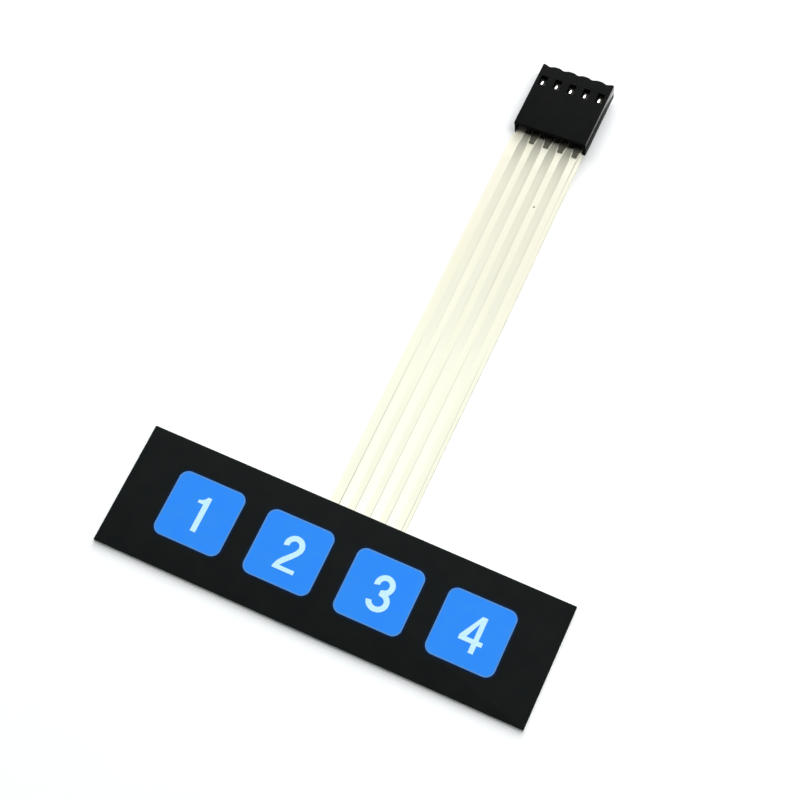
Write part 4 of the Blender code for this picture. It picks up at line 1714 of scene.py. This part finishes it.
    def make_wing(self) -> Object:
        """A crimp wing that rises from the strip's right edge and curls inwards.

        Returns:
            The wing, at the connector's rear.
        """
        root = (self.strip_width - self.stock) / 2
        low, high = (root - self.stock / 2, 0.0), (root + self.stock / 2, self.wing_length)
        wing = add_ribbon("wing", low, high, self.terminal_base + self.stock / 2, 3)
        with editing(wing, Element.FACE):
            bpy.ops.mesh.select_all(action="SELECT")
            for inwards, rise in ((0.0, self.wing_rise), *self.wing_curl):
                shift = (-inwards, 0, rise)
                bpy.ops.mesh.extrude_region_move(TRANSFORM_OT_translate={"value": shift})
        face_outwards(wing)
        self.soften(wing, self.wing_edge, segments=self.metal_edge_steps)
        wing.data.materials.append(self.plating[BRIGHT_TIN.name])
        return wing

    def make_box(self, start: float) -> Object:
        """The receptacle that takes the pin: a folded box, open at both ends.

        Args:
            start: Where it begins, towards the tail.

        Returns:
            The box.
        """
        half, roof = self.box_width / 2, self.terminal_base + self.box_height
        low = (self.shift - half, start, self.terminal_base)
        high = (self.shift + half, start + self.box_length, roof)
        box = add_block("pin_box", low, high)
        with editing(box, Element.FACE):
            pick(box, Element.FACE, lambda middle, normal: abs(normal.y) > UPRIGHT)
            bpy.ops.mesh.delete(type="FACE")
            bpy.ops.mesh.select_mode(type="EDGE")
            pick(box, Element.EDGE, lambda middle, along: abs(along.y) > UPRIGHT)
            bpy.ops.mesh.bevel(offset=self.stock, segments=self.edge_steps, affect="EDGES")
        apply_modifier(box, "SOLIDIFY", thickness=self.box_wall, offset=-1.0)
        # The box takes the darker tin copy, as painted shade under the window.
        box.data.materials.append(self.plating[SHADED_TIN.name])
        return box

    def lance_outline(self, share: float) -> float:
        """Half the lance's width.

        Args:
            share: Place along it, from its root at 0 to its round end at 1.

        Returns:
            The half width.
        """
        start, length = self.lance_swell
        swell = self.lance_waist + (1 - self.lance_waist) * ease((share - start) / length)
        start, length = self.lance_round
        tip = math.sqrt(max(1 - max(share - start, 0.0) ** 2 / length ** 2, 0.0))
        return self.lance_width / 2 * swell * tip

    def make_lance(self) -> Object:
        """The latch tongue, curved up out of the box towards the tail, in its window.

        Returns:
            The tongue.
        """
        roof = self.terminal_base + self.box_height
        root = self.length - self.window_from_front - self.stock / 2
        tip = self.length - self.window_from_front - self.window_length + self.lance_clearance
        top = self.thickness - self.lance_clearance - self.stock
        low = roof - self.lance_sink
        lance = add_ribbon("lance", (-MM, tip), (MM, root), roof, self.lance_pieces)
        for vert in lance.data.vertices:
            share = min((root - vert.co.y) / (root - tip), 1.0)
            climb = 1 - (1 - min(share / self.lance_rise, 1.0)) ** 2
            vert.co.z = low + (top - low) * (climb + (share - climb) * self.lance_tilt)
            vert.co.x = self.shift + math.copysign(self.lance_outline(share), vert.co.x)
        thicken(lance, self.stock)
        smooth_by_angle(lance, self.lance_smooth_angle)
        lance.data.materials.append(self.plating[BRIGHT_TIN.name])
        return lance

    def make_crimp(self) -> Object:
        """The formed part that all terminals share: box, lance and two pairs of wings.

        Returns:
            The part, in the connector's middle.
        """
        box = self.make_box(self.box_start())
        wing = self.make_wing()
        wings = []
        for start in self.wing_starts:
            wings.append(copy_of(wing, "right_wing", (0, start, 0)))
            left = copy_of(wing, "left_wing", (0, start, 0))
            left.data.transform(Matrix.Diagonal((-1, 1, 1, 1)))
            face_outwards(left)
            wings.append(left)
        discard(wing)
        return join(box, self.make_lance(), *wings)

    def box_start(self) -> float:
        """Where the terminals' boxes begin."""
        return self.length - self.front_wall - self.box_clearance - self.box_length

    def make_terminals(self) -> None:
        """The five terminals: one crimp and one strip, copied, with the first way's tab cut shorter."""
        for finish in (BRIGHT_TIN, SHADED_TIN):
            self.plating[finish.name] = finish.build()
        crimp = self.make_crimp()
        end = self.box_start() + self.stock
        full, short = self.make_strip(-self.tab_reach, end), self.make_strip(self.first_tab_setback, end)
        for number, x in enumerate(self.way_centres(), start=1):
            strip = short if number == 1 else full
            terminal = copy_of(strip, f"crimp_terminal_{number}", (x, 0, 0))
            join(terminal, copy_of(crimp, "crimp_copy", (x, 0, 0)))
            terminal.data.transform(self.seat())
            smooth_by_angle(terminal)
            hand_over(terminal, Slot.TIN, self.plating[BRIGHT_TIN.name], f"terminal_{number}")
        discard(crimp, full, short)


def main() -> None:
    """Build the studio and the keypad's sub-assemblies in order."""
    logging.basicConfig(level=logging.INFO, format="%(name)s %(message)s")
    bpy.context.scene.view_settings.view_transform = "Standard"
    Studio().build()
    route = TailRoute(
        start=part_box("graphic_overlay")[1].y,
        rear=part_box("connector_housing")[0].y,
        end=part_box("circuit_film")[1].y,
    )
    Laminate().build()
    Tail(route).build()
    Connector(route).build()


if __name__ == "__main__":
    main()
